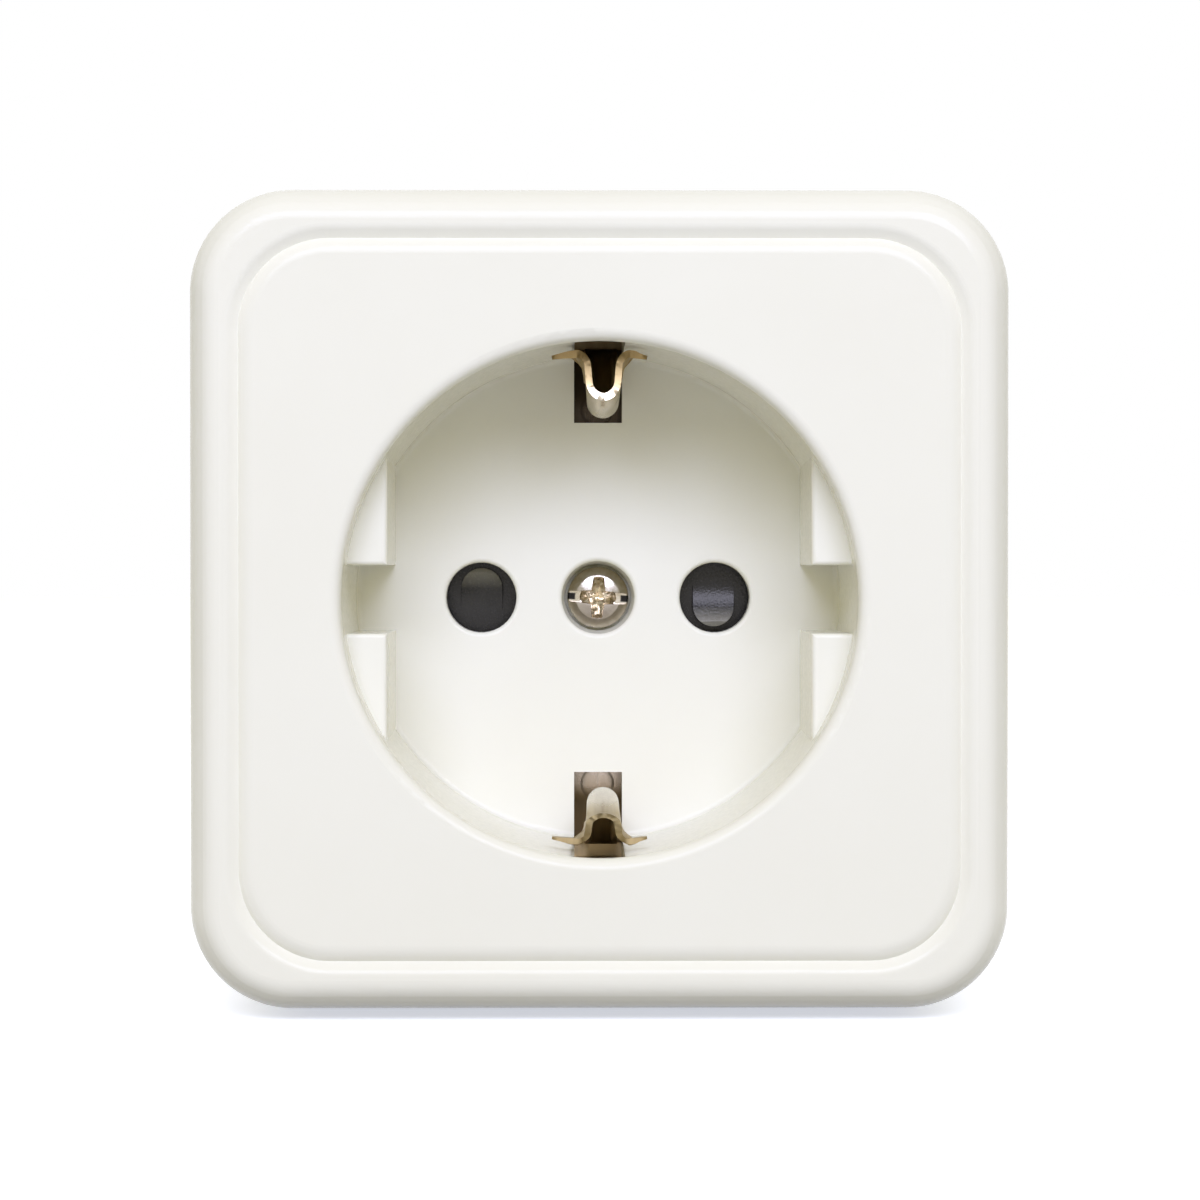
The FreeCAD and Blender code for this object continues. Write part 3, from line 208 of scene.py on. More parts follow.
def wornFinish(name, look):
    # plated metal: its tone follows the distance from the recess axis and the depth, above and below apart; the
    # depth ramps for the two sides are painted shade and painted reflection, not the metal's own colour
    finish, tree, shader, coords = newFinish(name)
    stain = addNoise(tree, coords, look["stainScale"], pattern["wearDetail"])
    flatten = tree.nodes.new("ShaderNodeMapping")
    flatten.inputs["Scale"].default_value = (1, 0, 1)
    tree.links.new(coords, flatten.inputs["Vector"])
    measure = tree.nodes.new("ShaderNodeVectorMath")
    measure.operation = "LENGTH"
    tree.links.new(flatten.outputs["Vector"], measure.inputs[0])
    away = measure.outputs["Value"]
    uneven = timesAdd(tree, stain, look["uneven"], shareOf(tree, away, *look["radius"]))
    tone = toneRamp(tree, uneven, look["tones"])
    # painted shade and painted reflection: the tone changes with depth, with one ramp below the axis and
    # another above it
    depth = shareOf(tree, axisPart(tree, coords, "Y"), -look["level"][1], -look["level"][0])
    high = shareOf(tree, axisPart(tree, coords, "Z"), *look["sides"])
    lower, upper = [toneRamp(tree, depth, look[side]) for side in ("lowerPaintedLight", "upperPaintedLight")]
    tone = mixTones(tree, "MULTIPLY", 1.0, tone, mixTones(tree, "MIX", high, lower, upper))
    drawn = addNoise(tree, coords, look["drawnScale"], pattern["drawnDetail"], look["drawnStretch"])
    tone = mixTones(tree, "MULTIPLY", 1.0, tone, toneRamp(tree, drawn, look["streaks"]))
    # painted shade: a mesh attribute paints the screw's slot ends nearly black
    if "grime" in look:
        grime = tree.nodes.new("ShaderNodeAttribute")
        grime.attribute_name = look["grime"]
        tone = mixTones(tree, "MIX", grime.outputs["Fac"], tone, look["grimeTone"])
    tree.links.new(tone, shader.inputs["Base Color"])
    dull = shareOf(tree, away, *look["dullRadius"])
    rough = timesAdd(tree, dull, look["dull"], remapped(tree, drawn, pattern["span"], look["roughness"]))
    tree.links.new(rough, shader.inputs["Roughness"])
    bright = toneRamp(tree, dull, ((0.0, (1, 1, 1)), (1.0, (look["bare"],) * 3)))
    tree.links.new(bright, shader.inputs["Metallic"])
    addBump(tree, shader, drawn, look["drawnDepth"])
    return finish


coverLook = {
    "tones": ((0.30, (0.876, 0.862, 0.742)), (0.70, (0.890, 0.878, 0.761))),
    "cloudScale": 60, "grainScale": 2600, "grainDepth": 1.0e-6, "roughness": (0.13, 0.18), "gloss": 0.15,
}
baseLook = {
    "tones": ((0.30, (0.770, 0.755, 0.700)), (0.70, (0.800, 0.788, 0.735))),
    "cloudScale": 70, "grainScale": 1900, "grainDepth": 8.0e-6, "roughness": (0.52, 0.66), "gloss": 0.4,
}
shutterLook = {
    "tones": ((0.30, (0.009, 0.009, 0.009)), (0.70, (0.016, 0.016, 0.015))),
    # painted highlight: the ramp tops get a lighter tone, partly rub wear and partly a painted highlight
    "rubbedAndHighlightLevels": (-19.7, -20.2), "rubbedAndHighlightTone": (0.160, 0.152, 0.115), "glossTint": (1.0, 0.93, 0.80),
    "cloudScale": 300, "grainScale": 5200, "grainDepth": 2.2e-5, "roughness": (0.20, 0.30), "gloss": 0.36,
}
plateLook = {
    "tones": ((0.30, (0.090, 0.090, 0.098)), (0.70, (0.118, 0.118, 0.126))),
    "cloudScale": 200, "grainScale": 2600, "grainDepth": 8.0e-6, "roughness": (0.50, 0.62), "gloss": 0.4,
}
clipLook = {
    "radius": (14.0, 20.0), "uneven": 0.10,
    # the tone runs from nickel near the axis to brass brown further out, partly the clip's own colour and
    # partly painted warm reflection
    "tones": ((0.10, (0.80, 0.78, 0.72)), (0.34, (0.78, 0.73, 0.63)), (0.50, (0.54, 0.44, 0.26)),
              (0.80, (0.47, 0.36, 0.18)), (1.0, (0.40, 0.30, 0.15))),
    # painted shade: deep parts darker, and above the axis much darker, nearly black at the foot in the upper
    # slot
    "level": (15.0, 18.5), "sides": (-14, 14),
    "lowerPaintedLight": ((0.0, (1, 1, 1)), (0.6, (0.74, 0.69, 0.60)), (1.0, (0.50, 0.44, 0.37))),
    "upperPaintedLight": ((0.0, (0.80, 0.74, 0.62)), (0.6, (0.28, 0.24, 0.19)), (1.0, (0.08, 0.065, 0.05))),
    "dullRadius": (15.8, 17.2), "dull": 0.20, "bare": 0.8,
    "stainScale": 300, "drawnScale": 900, "drawnStretch": (1, 0.12, 0.12), "drawnDepth": 4.0e-6,
    "streaks": ((0.36, (0.70, 0.68, 0.64)), (0.62, (1, 1, 1))),
    "roughness": (0.18, 0.32),
}
screwLook = {
    "radius": (0.0, 3.0), "uneven": 0.16,
    "tones": ((0.10, (0.84, 0.78, 0.66)), (0.50, (0.70, 0.65, 0.57)), (0.70, (0.62, 0.58, 0.50)),
              (1.0, (0.66, 0.62, 0.54))),
    # painted shade: the slot ends are painted nearly black through a mesh attribute
    "dullRadius": (2.0, 3.0), "dull": 0.1, "bare": 1.0, "grime": "grime", "grimeTone": (0.02, 0.018, 0.016),
    # painted reflection: the head's top is darker on its lower half, and the slot and cross floors lighter and
    # warmer, by depth and side
    "level": (20.3, 21.5), "sides": (-1.2, 0.6),
    "lowerPaintedLight": ((0.0, (0.34, 0.31, 0.28)), (0.30, (0.55, 0.51, 0.46)), (0.55, (1, 0.97, 0.92)),
                    (1.0, (1, 0.97, 0.90))),
    "upperPaintedLight": ((0.0, (0.70, 0.68, 0.66)), (0.30, (0.66, 0.63, 0.58)), (0.55, (0.70, 0.65, 0.54)),
                    (1.0, (1, 0.97, 0.90))),
    "streaks": ((0.36, (0.86, 0.84, 0.80)), (0.62, (1, 1, 1))),
    "stainScale": 700, "drawnScale": 2200, "drawnStretch": (1, 1, 1), "drawnDepth": 3.0e-6,
    "roughness": (0.14, 0.26),
}
bridgeLook = {
    **clipLook,
    # the light brass tone is partly the bridge's own brass and partly painted light for the bridge in the
    # slot's shade; the depth ramps are painted shade, much darker on the upper side
    "tones": ((0.0, (0.90, 0.75, 0.47)), (1.0, (0.96, 0.82, 0.53))), "level": (15.0, 30.0),
    "lowerPaintedLight": ((0.0, (1, 1, 1)), (1.0, (0.90, 0.86, 0.80))),
    "upperPaintedLight": ((0.0, (0.70, 0.67, 0.58)), (1.0, (0.26, 0.22, 0.16))),
    "dullRadius": (10.0, 12.0), "bare": 1.0,
}
brassLook = {
    "tones": ((0.30, (0.40, 0.29, 0.14)), (0.70, (0.55, 0.43, 0.23))),
    "stainScale": 240, "drawnScale": 1200, "drawnStretch": (1, 1, 0.15), "drawnDepth": 4.0e-6,
    "roughness": (0.28, 0.42),
}
steelLook = {
    "tones": ((0.30, (0.52, 0.53, 0.54)), (0.70, (0.66, 0.66, 0.65))),
    "stainScale": 320, "drawnScale": 1500, "drawnStretch": (1, 1, 1), "drawnDepth": 4.0e-6,
    "roughness": (0.30, 0.42),
}
coverPlastic = mouldedFinish("coverPlastic", coverLook)
basePlastic = mouldedFinish("basePlastic", baseLook)
shutterPlastic = mouldedFinish("shutterPlastic", shutterLook)
platePlastic = mouldedFinish("platePlastic", plateLook)
clipNickel = wornFinish("clipNickel", clipLook)
screwNickel = wornFinish("screwNickel", screwLook)
bridgeBrass = wornFinish("bridgeBrass", bridgeLook)
bareBrass = metalFinish("bareBrass", brassLook)
zincSteel = metalFinish("zincSteel", steelLook)

slotFinish = {
    "cover_plastic": coverPlastic, "base_plastic": basePlastic, "shutter_plastic": shutterPlastic,
    "plate_plastic": platePlastic, "nickel": clipNickel, "brass": bareBrass, "steel": zincSteel,
}
nodeFinish = {"earth_bridge": bridgeBrass}
for subpart in frame["record"]["subparts"]:
    node = nodes[subpart["node"]]
    node.data.materials.clear()
    node.data.materials.append(nodeFinish.get(subpart["node"], slotFinish[subpart["material_slot"]]))
print("finishes set on the CAD nodes")


# shared mesh helpers

def pieceFrom(name, mesh, finish, body, stands, sharpAngle=35):
    # without a body the caller bakes the piece's transform, and an angle of nought leaves the normals alone
    mesh.name = name
    mesh.materials.clear()
    mesh.materials.append(finish)
    if sharpAngle:
        mesh.shade_smooth()
        mesh.set_sharp_from_angle(angle=math.radians(sharpAngle))
    piece = addObject(name, mesh)
    if body:
        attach(piece, body)
    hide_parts(*stands)
    return piece


def evaluatedMesh(obj):
    graph = bpy.context.evaluated_depsgraph_get()
    return bpy.data.meshes.new_from_object(obj.evaluated_get(graph), depsgraph=graph)


def mergedCopy(nodeName, weld=1e-6):
    mesh = nodes[nodeName].data.copy()
    work = bmesh.new()
    work.from_mesh(mesh)
    bmesh.ops.remove_doubles(work, verts=work.verts, dist=weld)
    return mesh, work


def meshFrom(name, points, faces):
    mesh = bpy.data.meshes.new(name)
    mesh.from_pydata(points, [], faces)
    mesh.update()
    return mesh


# cover screw: a combined slot and cross in a pan head, as one height field over the head

coverScrew = {
    "headRadius": 2.5, "flatRadius": 1.72, "topLevel": 21.6, "seatLevel": 19.6, "shoulderDrop": 1.0,
    "domeRadius": 6.0, "skirtWidth": 0.25,
    "slotHalf": 0.46, "slotDepth": 0.75, "slotTurn": -3.0,
    "grimeHalf": 0.22, "grimeSoft": 0.1, "grimeFade": 0.12,
    "armHalf": 0.56, "armReach": 1.8, "armTaper": 0.24, "armEnd": 4.5, "armRise": 0.42, "armVee": 0.3,
    "crossDepth": 1.5, "edgeSoft": 0.05, "dents": 0.02, "dentWaves": ((9, 4, 0.0), (-5, 8, 1.3)),
    "shankRadius": 1.5, "tipLevel": 6.4, "tipLength": 0.75, "around": 48,
    "fieldHalf": 2.9, "steps": 132, "weld": 1e-7, "leastArea": 1e-14,
    "upright": 0.2, "rimFrom": 2.2, "sharpAngle": 28,
}


def crossDrop(cfg, u, v):
    # the arms of the cross slope to a point in the middle, with a vee across each floor
    dent = cfg["dents"] * sum(math.sin(a * u + b * v + c) for a, b, c in cfg["dentWaves"])
    deepest = 0.0
    for along, side in ((abs(v), abs(u)), (abs(u), abs(v))):
        out = along / cfg["armReach"]
        half = cfg["armHalf"] * (1 - cfg["armTaper"] * out)
        end = clampShare(cfg["armEnd"] * (1 - out))
        vee = 1 - cfg["armVee"] * min(1, side / half)
        depth = end * (cfg["crossDepth"] * (1 - cfg["armRise"] * out) * vee + dent)
        wall = 1 - easeStep(side, half - cfg["edgeSoft"], half + cfg["edgeSoft"])
        deepest = max(deepest, depth * wall)
    return deepest


def headDrop(cfg, u, v, r):
    soft = cfg["edgeSoft"]
    ring = clampShare((r - cfg["flatRadius"]) / (cfg["headRadius"] - cfg["flatRadius"]))
    dome = cfg["domeRadius"] - math.sqrt(cfg["domeRadius"] ** 2 - min(r, cfg["headRadius"]) ** 2)
    drop = dome + (cfg["shoulderDrop"] - dome * ring) * (1 - math.sqrt(max(0.0, 1 - ring * ring)))
    slot = cfg["slotDepth"] * (1 - easeStep(abs(v), cfg["slotHalf"] - soft, cfg["slotHalf"] + soft))
    drop = max(drop, slot, crossDrop(cfg, u, v))
    if r > cfg["headRadius"]:
        skirt = min(1.0, (r - cfg["headRadius"]) / cfg["skirtWidth"])
        fullDrop = cfg["topLevel"] - cfg["seatLevel"]
        drop = max(drop, cfg["shoulderDrop"] + skirt * (fullDrop - cfg["shoulderDrop"]))
    return drop


def paintedSlotShadeAt(cfg, v, r):
    # painted shade: both ends of the slot, outside the cross, are painted nearly black
    edge = easeStep(abs(v), cfg["grimeHalf"], cfg["grimeHalf"] + cfg["grimeSoft"])
    outside = easeStep(r, cfg["armReach"], cfg["armReach"] + cfg["grimeFade"])
    return (1 - edge) * outside * (r < cfg["headRadius"])


def turnOutward(cfg, work):
    middle = Vector((0, -0.5 * (cfg["topLevel"] + cfg["seatLevel"]) * mm, 0))
    for face in work.faces:
        face.normal_update()
        center = face.calc_center_median()
        outward = (center - middle).xz
        onTop = center.y < -cfg["seatLevel"] * mm and face.normal.y > cfg["upright"]
        onSide = abs(face.normal.y) <= cfg["upright"] and outward.length > cfg["rimFrom"] * mm
        if onTop or (onSide and outward.dot(face.normal.xz) < 0):
            face.normal_flip()


def makeCoverScrew(cfg):
    width = 2 * cfg["fieldHalf"]
    lines = [-cfg["fieldHalf"] + width * i / cfg["steps"] for i in range(cfg["steps"] + 1)]
    for half in (cfg["slotHalf"], cfg["armHalf"]):
        lines += [s * (half + k * cfg["edgeSoft"]) for s in (-1, 1) for k in (-1, 0, 1)]
    lines = sorted(set(round(v, 4) for v in lines))
    turn = math.radians(cfg["slotTurn"])
    points = []
    grime = []
    for v in lines:
        for u in lines:
            r = math.hypot(u, v)
            level = cfg["topLevel"] - headDrop(cfg, u, v, r)
            pull = cfg["headRadius"] / r if r > cfg["headRadius"] else 1.0
            x = pull * (u * math.cos(turn) - v * math.sin(turn))
            z = pull * (u * math.sin(turn) + v * math.cos(turn))
            points.append((x * mm, -level * mm, z * mm))
            grime.append(paintedSlotShadeAt(cfg, v, r))
    n = len(lines)
    starts = [j * n + i for j in range(n - 1) for i in range(n - 1)]
    faces = [(k, k + 1, k + n + 1, k + n) for k in starts]
    # underside of the head and the shank, turned from a few rings
    rings = ((cfg["headRadius"], cfg["seatLevel"]), (cfg["shankRadius"], cfg["seatLevel"]),
             (cfg["shankRadius"], cfg["tipLevel"] + cfg["tipLength"]),
             (cfg["shankRadius"] / 2, cfg["tipLevel"]))
    around = cfg["around"]
    first = len(points)
    for radius, level in rings:
        for k in range(around):
            a = 2 * math.pi * k / around
            points.append((radius * math.cos(a) * mm, -level * mm, radius * math.sin(a) * mm))
    for ring in range(len(rings) - 1):
        for k in range(around):
            a, b = first + ring * around + k, first + ring * around + (k + 1) % around
            faces.append((a, b, b + around, a + around))
    last = first + (len(rings) - 1) * around
    faces.append(tuple(last + k for k in range(around)))
    mesh = meshFrom("coverScrew", points, faces)
    # painted shade of the slot ends, kept on the mesh for the screw's finish
    slotShadeLayer = mesh.attributes.new("grime", "FLOAT", "POINT")
    slotShadeLayer.data.foreach_set("value", grime + [0.0] * (len(points) - len(grime)))
    work = bmesh.new()
    work.from_mesh(mesh)
    bmesh.ops.remove_doubles(work, verts=work.verts, dist=cfg["weld"])
    slivers = [face for face in work.faces if face.calc_area() < cfg["leastArea"]]
    bmesh.ops.delete(work, geom=slivers, context="FACES")
    turnOutward(cfg, work)
    work.to_mesh(mesh)
    work.free()
    return mesh


pieceFrom("coverScrew", makeCoverScrew(coverScrew), screwNickel, "housing", ["cover_screw"],
          coverScrew["sharpAngle"])
print("cover screw made")


# earth clips: a grid laid along the bent spine, hat section across it, wider at the winged front edge

earthClip = {
    "sheet": 0.52, "footLevel": 14.4, "footRise": 1.8, "footRadius": 20.3, "footBend": 3.0, "footSteps": 12,
    "noseLevel": 31.0, "noseRadius": 17.4, "noseBend": 4.0, "noseSteps": 24,
    "mouthLevel": 36.2, "mouthRadius": 19.05, "mouthFrom": 0.5,
    "ribHeight": 2.9, "ribRound": 1.0, "ribRoot": 0.8, "ribSteps": 12, "ribShift": 0.3, "ribFade": 0.2,
    "ribStart": 0.14, "ribFull": 0.50, "ribFlare": 0.30, "flareFrom": (0.2, 0.8),
    "leafHalf": 1.3, "wingHalf": 3.7, "wingDepth": 1.6, "wingSteps": 10, "wingTip": 0.5, "tipFrom": 0.3,
    "wingOpens": ((-0.012, 0.0), (0.004, 0.55), (0.022, 0.92), (0.04, 1.0)),
    "wingCloses": ((0.982, 1.0), (0.994, 0.94), (1.0, 0.78)), "wallFrom": (-0.4, 0.1),
    "upperCrest": 0.73, "lowerSet": 0.65, "lowerLevels": (17, 27), "lowerCrest": 0.40, "lowerWings": -0.30,
    "footInner": 14.2, "footHalf": 2.35, "footRound": 0.08,
    "edgeRound": 0.09, "edgeSteps": 2, "edgeAngle": 50, "sharpAngle": 40, "rows": 130, "columns": 97,
}


def arcPoints(middle, radius, start, turn, steps):
    angles = [start + turn * k / steps for k in range(steps + 1)]
    return [middle + radius * Vector((math.cos(a), math.sin(a))) for a in angles]


def clipSpine(cfg):
    bend = Vector((cfg["footLevel"] + cfg["footRise"], cfg["footRadius"] - cfg["footBend"]))
    nose = Vector((cfg["noseLevel"], cfg["noseRadius"] + cfg["noseBend"]))
    mouth = Vector((cfg["mouthLevel"], cfg["mouthRadius"]))
    between = nose - bend
    lean = math.atan2(between.y, between.x) - math.asin((cfg["footBend"] + cfg["noseBend"]) / between.length)
    toMouth = mouth - nose
    leave = math.atan2(toMouth.y, toMouth.x) - math.acos(cfg["noseBend"] / toMouth.length)
    startAt = lean - math.pi / 2
    path = [Vector((cfg["footLevel"], cfg["footRadius"]))]
    path += arcPoints(bend, cfg["footBend"], math.pi / 2, lean, cfg["footSteps"])
    path += arcPoints(nose, cfg["noseBend"], startAt, leave - startAt, cfg["noseSteps"])
    path.append(mouth)
    return [(0, -p.x * mm, p.y * mm) for p in path]


def clipSection(cfg):
    # half of the hat: crest arc, side, root arc, then the wing
    top, foot = cfg["ribRound"], cfg["ribRoot"]
    crest = cfg["ribHeight"] - top
    rootX = top + foot
    angles = [math.pi / 2 * k / cfg["ribSteps"] for k in range(cfg["ribSteps"] + 1)]
    half = [(top * math.sin(a), crest + top * math.cos(a)) for a in angles]
    half += [(rootX - foot * math.cos(a), foot - foot * math.sin(a)) for a in angles]
    for k in range(1, cfg["wingSteps"] + 1):
        half.append((rootX + (cfg["wingHalf"] - rootX) * k / cfg["wingSteps"], 0.0))
    reached = [0.0]
    for a, b in zip(half, half[1:]):
        reached.append(reached[-1] + math.dist(a, b))
    leafShare = next(r for r, (x, d) in zip(reached, half) if x > cfg["leafHalf"]) / reached[-1]
    line = [(-x, d) for x, d in reversed(half)] + half[1:]
    return [(x * mm, d * mm, 0) for x, d in line], leafShare


def curveObject(name, path):
    curve = bpy.data.curves.new(name, "CURVE")
    curve.dimensions = "3D"
    spline = curve.splines.new("POLY")
    spline.points.add(len(path) - 1)
    for point, place in zip(spline.points, path):
        point.co = (*place, 1)
    return addObject(name, curve)


def clipTree(narrow, spineLength, cfg):
    tree = bpy.data.node_groups.new("clipLeaf", "GeometryNodeTree")
    add = tree.nodes.new
    link = tree.links.new

    def feed(node, values):
        for socket, value in zip(node.inputs, values):
            if isinstance(value, (int, float, tuple)):
                socket.default_value = value
            else:
                link(value, socket)

    def number(operation, a, b):
        maths = add("ShaderNodeMath")
        maths.operation = operation
        feed(maths, (a, b))
        return maths.outputs[0]

    def vector(operation, a, b):
        maths = add("ShaderNodeVectorMath")
        maths.operation = operation
        feed(maths, (a, b))
        return maths.outputs["Vector"]

    def together(x, y, z):
        join = add("ShaderNodeCombineXYZ")
        feed(join, (x, y, z))
        return join.outputs[0]

    inputNames = {}
    for name, kind in (("Spine", "Object"), ("Section", "Object"), ("Rows", "Int"), ("Columns", "Int"),
                       ("Finish", "Material")):
        socket = tree.interface.new_socket(name, in_out="INPUT", socket_type="NodeSocket" + kind)
        inputNames[name] = socket.identifier
    tree.interface.new_socket("Geometry", in_out="OUTPUT", socket_type="NodeSocketGeometry")
    entry = add("NodeGroupInput").outputs
    grid = add("GeometryNodeMeshGrid")
    grid.inputs["Size X"].default_value = 1.0
    grid.inputs["Size Y"].default_value = 1.0
    link(entry["Columns"], grid.inputs["Vertices X"])
    link(entry["Rows"], grid.inputs["Vertices Y"])
    place = add("GeometryNodeInputPosition").outputs["Position"]
    along = number("ADD", axisPart(tree, place, "Y"), 0.5)
    # share of the section in use: the rib alone below, the whole flange at the wings
    width = add("ShaderNodeFloatCurve")
    wingStart = 1 - cfg["wingDepth"] / spineLength
    outline = [(0, 0.0)] + [(wingStart + at, share) for at, share in cfg["wingOpens"]] + list(cfg["wingCloses"])
    shape = width.mapping.curves[0]
    while len(shape.points) < len(outline):
        shape.points.new(0.5, 0.5)
    for point, (at, share) in zip(shape.points, outline):
        point.location = (at, narrow + share * (1 - narrow))
        point.handle_type = "VECTOR"
    width.mapping.update()
    link(along, width.inputs["Value"])
    factor = number("ADD", number("MULTIPLY", axisPart(tree, place, "X"), width.outputs["Value"]), 0.5)
    samples = []
    for name, at in (("Spine", along), ("Section", factor)):
        info = add("GeometryNodeObjectInfo")
        link(entry[name], info.inputs["Object"])
        sample = add("GeometryNodeSampleCurve")
        sample.mode = "FACTOR"
        link(info.outputs["Geometry"], sample.inputs["Curves"])
        link(at, sample.inputs["Factor"])
        samples.append(sample)
    spine, section = samples
    side, hat = [axisPart(tree, section.outputs["Position"], axis) for axis in "XY"]
    # the rib is pressed in from the foot bend onwards
    pressed = remapped(tree, along, (cfg["ribStart"], cfg["ribFull"]), kind="SMOOTHSTEP")
    rise = add("ShaderNodeVectorMath")
    rise.operation = "SCALE"
    link(vector("CROSS_PRODUCT", (1, 0, 0), spine.outputs["Tangent"]), rise.inputs[0])
    link(number("MULTIPLY", hat, pressed), rise.inputs["Scale"])
    across = together(side, 0.0, 0.0)
    laid = vector("ADD", vector("ADD", spine.outputs["Position"], across), rise.outputs[0])
    # the wings lie along the recess wall, edge on to the front
    root = cfg["ribRound"] + cfg["ribRoot"]
    wallRadius = math.hypot(cfg["mouthRadius"], root) * mm
    wallRise = number("SQRT", number("SUBTRACT", wallRadius ** 2, number("MULTIPLY", side, side)), 0)
    onWall = together(side, axisPart(tree, spine.outputs["Position"], "Y"), wallRise)
    outside = [(root + reach) * mm for reach in cfg["wallFrom"]]
    settle = add("ShaderNodeMix")
    settle.data_type = "VECTOR"
    # the vector sockets come after those for numbers
    link(remapped(tree, number("ABSOLUTE", side, 0), outside, kind="SMOOTHSTEP"), settle.inputs[0])
    link(laid, settle.inputs[4])
    link(onWall, settle.inputs[5])
    setPlace = add("GeometryNodeSetPosition")
    link(grid.outputs["Mesh"], setPlace.inputs["Geometry"])
    link(settle.outputs[1], setPlace.inputs["Position"])
    # the same leaf stands above and, half a turn round the front to back axis, below
    pair = add("GeometryNodeMeshLine")
    pair.inputs["Count"].default_value = 2
    pair.inputs["Offset"].default_value = (0, 0, 0)
    halfTurn = number("MULTIPLY", add("GeometryNodeInputIndex").outputs[0], math.pi)
    copies = add("GeometryNodeInstanceOnPoints")
    link(pair.outputs["Mesh"], copies.inputs["Points"])
    link(setPlace.outputs["Geometry"], copies.inputs["Instance"])
    link(together(0.0, halfTurn, 0.0), copies.inputs["Rotation"])
    real = add("GeometryNodeRealizeInstances")
    link(copies.outputs["Instances"], real.inputs["Geometry"])
    dress = add("GeometryNodeSetMaterial")
    link(real.outputs["Geometry"], dress.inputs["Geometry"])
    link(entry["Finish"], dress.inputs["Material"])
    link(dress.outputs["Geometry"], add("NodeGroupOutput").inputs["Geometry"])
    return tree, inputNames


def clipLeaves(cfg):
    path = clipSpine(cfg)
    sectionLine, narrow = clipSection(cfg)
    spineLength = sum(math.dist(a, b) for a, b in zip(path, path[1:])) / mm
    spine = curveObject("clipSpine", path)
    section = curveObject("clipSection", sectionLine)
    tree, inputNames = clipTree(narrow, spineLength, cfg)
    holder = addObject("clipHolder", bpy.data.meshes.new("clipHolder"))
    leaf = holder.modifiers.new("leaf", "NODES")
    leaf.node_group = tree
    for name, value in (("Spine", spine), ("Section", section), ("Rows", cfg["rows"]),
                        ("Columns", cfg["columns"]), ("Finish", clipNickel)):
        leaf[inputNames[name]] = value
    sheet = holder.modifiers.new("sheet", "SOLIDIFY")
    sheet.thickness = cfg["sheet"] * mm
    sheet.offset = 0.0
    sheet.use_quality_normals = True
    edge = holder.modifiers.new("edge", "BEVEL")
    edge.width = cfg["edgeRound"] * mm
    edge.segments = cfg["edgeSteps"]
    edge.limit_method = "ANGLE"
    edge.angle_limit = math.radians(cfg["edgeAngle"])
    mesh = evaluatedMesh(holder)
    for helper in (holder, spine, section):
        bpy.data.objects.remove(helper)
    return mesh


def bendLeaf(cfg, co):
    root = cfg["ribRound"] + cfg["ribRoot"]
    wallRadius = math.hypot(cfg["mouthRadius"], root) * mm
    out = abs(co.x) / mm
    level = -co.y / mm
    # the wing tips are pressed thin
    if out > root:
        thin = 1 - (1 - cfg["wingTip"]) * easeStep(out, root + cfg["tipFrom"], cfg["wingHalf"])
        r = math.hypot(co.x, co.z)
        scale = (wallRadius + (r - wallRadius) * thin) / r
        co.x *= scale
        co.z *= scale
    ribShare = 1 - easeStep(out, root, cfg["wingHalf"] - cfg["ribFade"])
    atMouth = easeStep(level, cfg["noseLevel"] + cfg["mouthFrom"], cfg["mouthLevel"])
    alongMouth = clampShare((level - cfg["noseLevel"]) / (cfg["mouthLevel"] - cfg["noseLevel"]))
    spineRadius = cfg["noseRadius"] + (cfg["mouthRadius"] - cfg["noseRadius"]) * alongMouth
    crest = clampShare((spineRadius - abs(co.z) / mm) / cfg["ribHeight"])
    # the rib stands a little to one side of the wings, and its sides open out towards them
    flare = cfg["ribFlare"] * (1 - crest) * atMouth * ribShare * easeStep(out, *cfg["flareFrom"])
    co.x += (math.copysign(flare, co.x) + cfg["ribShift"] * ribShare) * mm
    # the two leaves are not bent quite alike
    if co.z > 0:
        co.z -= cfg["upperCrest"] * mm * crest * atMouth
    else:
        along = cfg["lowerSet"] * ribShare * easeStep(level, *cfg["lowerLevels"])
        mouth = cfg["lowerCrest"] * crest + cfg["lowerWings"] * (1 - crest)
        co.z -= (along + (mouth - along) * atMouth) * mm


def addFoot(cfg, work, side):
    # a flat foot that lies on the earth bridge
    low, high = sorted((side * cfg["footInner"], side * (cfg["footRadius"] + cfg["sheet"] / 2)))
    corners = bmesh.ops.create_cube(work, size=1.0)["verts"]
    for v in corners:
        v.co.x *= 2 * cfg["footHalf"] * mm
        v.co.y = -(cfg["footLevel"] + cfg["sheet"] * (0.5 - v.co.y)) * mm
        v.co.z = (low + (high - low) * (v.co.z + 0.5)) * mm
    rim = list(dict.fromkeys(edge for v in corners for edge in v.link_edges))
    bmesh.ops.bevel(work, geom=rim, offset=cfg["footRound"] * mm, segments=cfg["edgeSteps"], affect="EDGES")


def makeEarthClips(cfg):
    mesh = clipLeaves(cfg)
    work = bmesh.new()
    work.from_mesh(mesh)
    for v in work.verts:
        bendLeaf(cfg, v.co)
    for side in (1, -1):
        addFoot(cfg, work, side)
    work.to_mesh(mesh)
    work.free()
    return mesh


pieceFrom("earthClips", makeEarthClips(earthClip), clipNickel, "housing",
          ["earth_clip_upper", "earth_clip_lower"], earthClip["sharpAngle"])
print("earth clips made")


# clip rivets: the CAD rivets with their front heads hammered nearly flush with the feet

clipRivets = {"flushLevel": 14.99}


def makeClipRivets(cfg):
    mesh, work = mergedCopy("earth_clip_rivets")
    for v in work.verts:
        v.co.y = max(v.co.y, -cfg["flushLevel"] * mm)
    work.to_mesh(mesh)
    work.free()
    return mesh


pieceFrom("clipRivets", makeClipRivets(clipRivets), clipNickel, "housing", ["earth_clip_rivets"])
print("clip rivets made")


# shutter: the CAD rotor with its hard edges rounded

shutterBody = {
    "flatAngle": 0.5, "edgeRound": 0.4, "edgeSteps": 6, "edgeAngle": 25, "sharpAngle": 20, "flatWeight": 100,
}


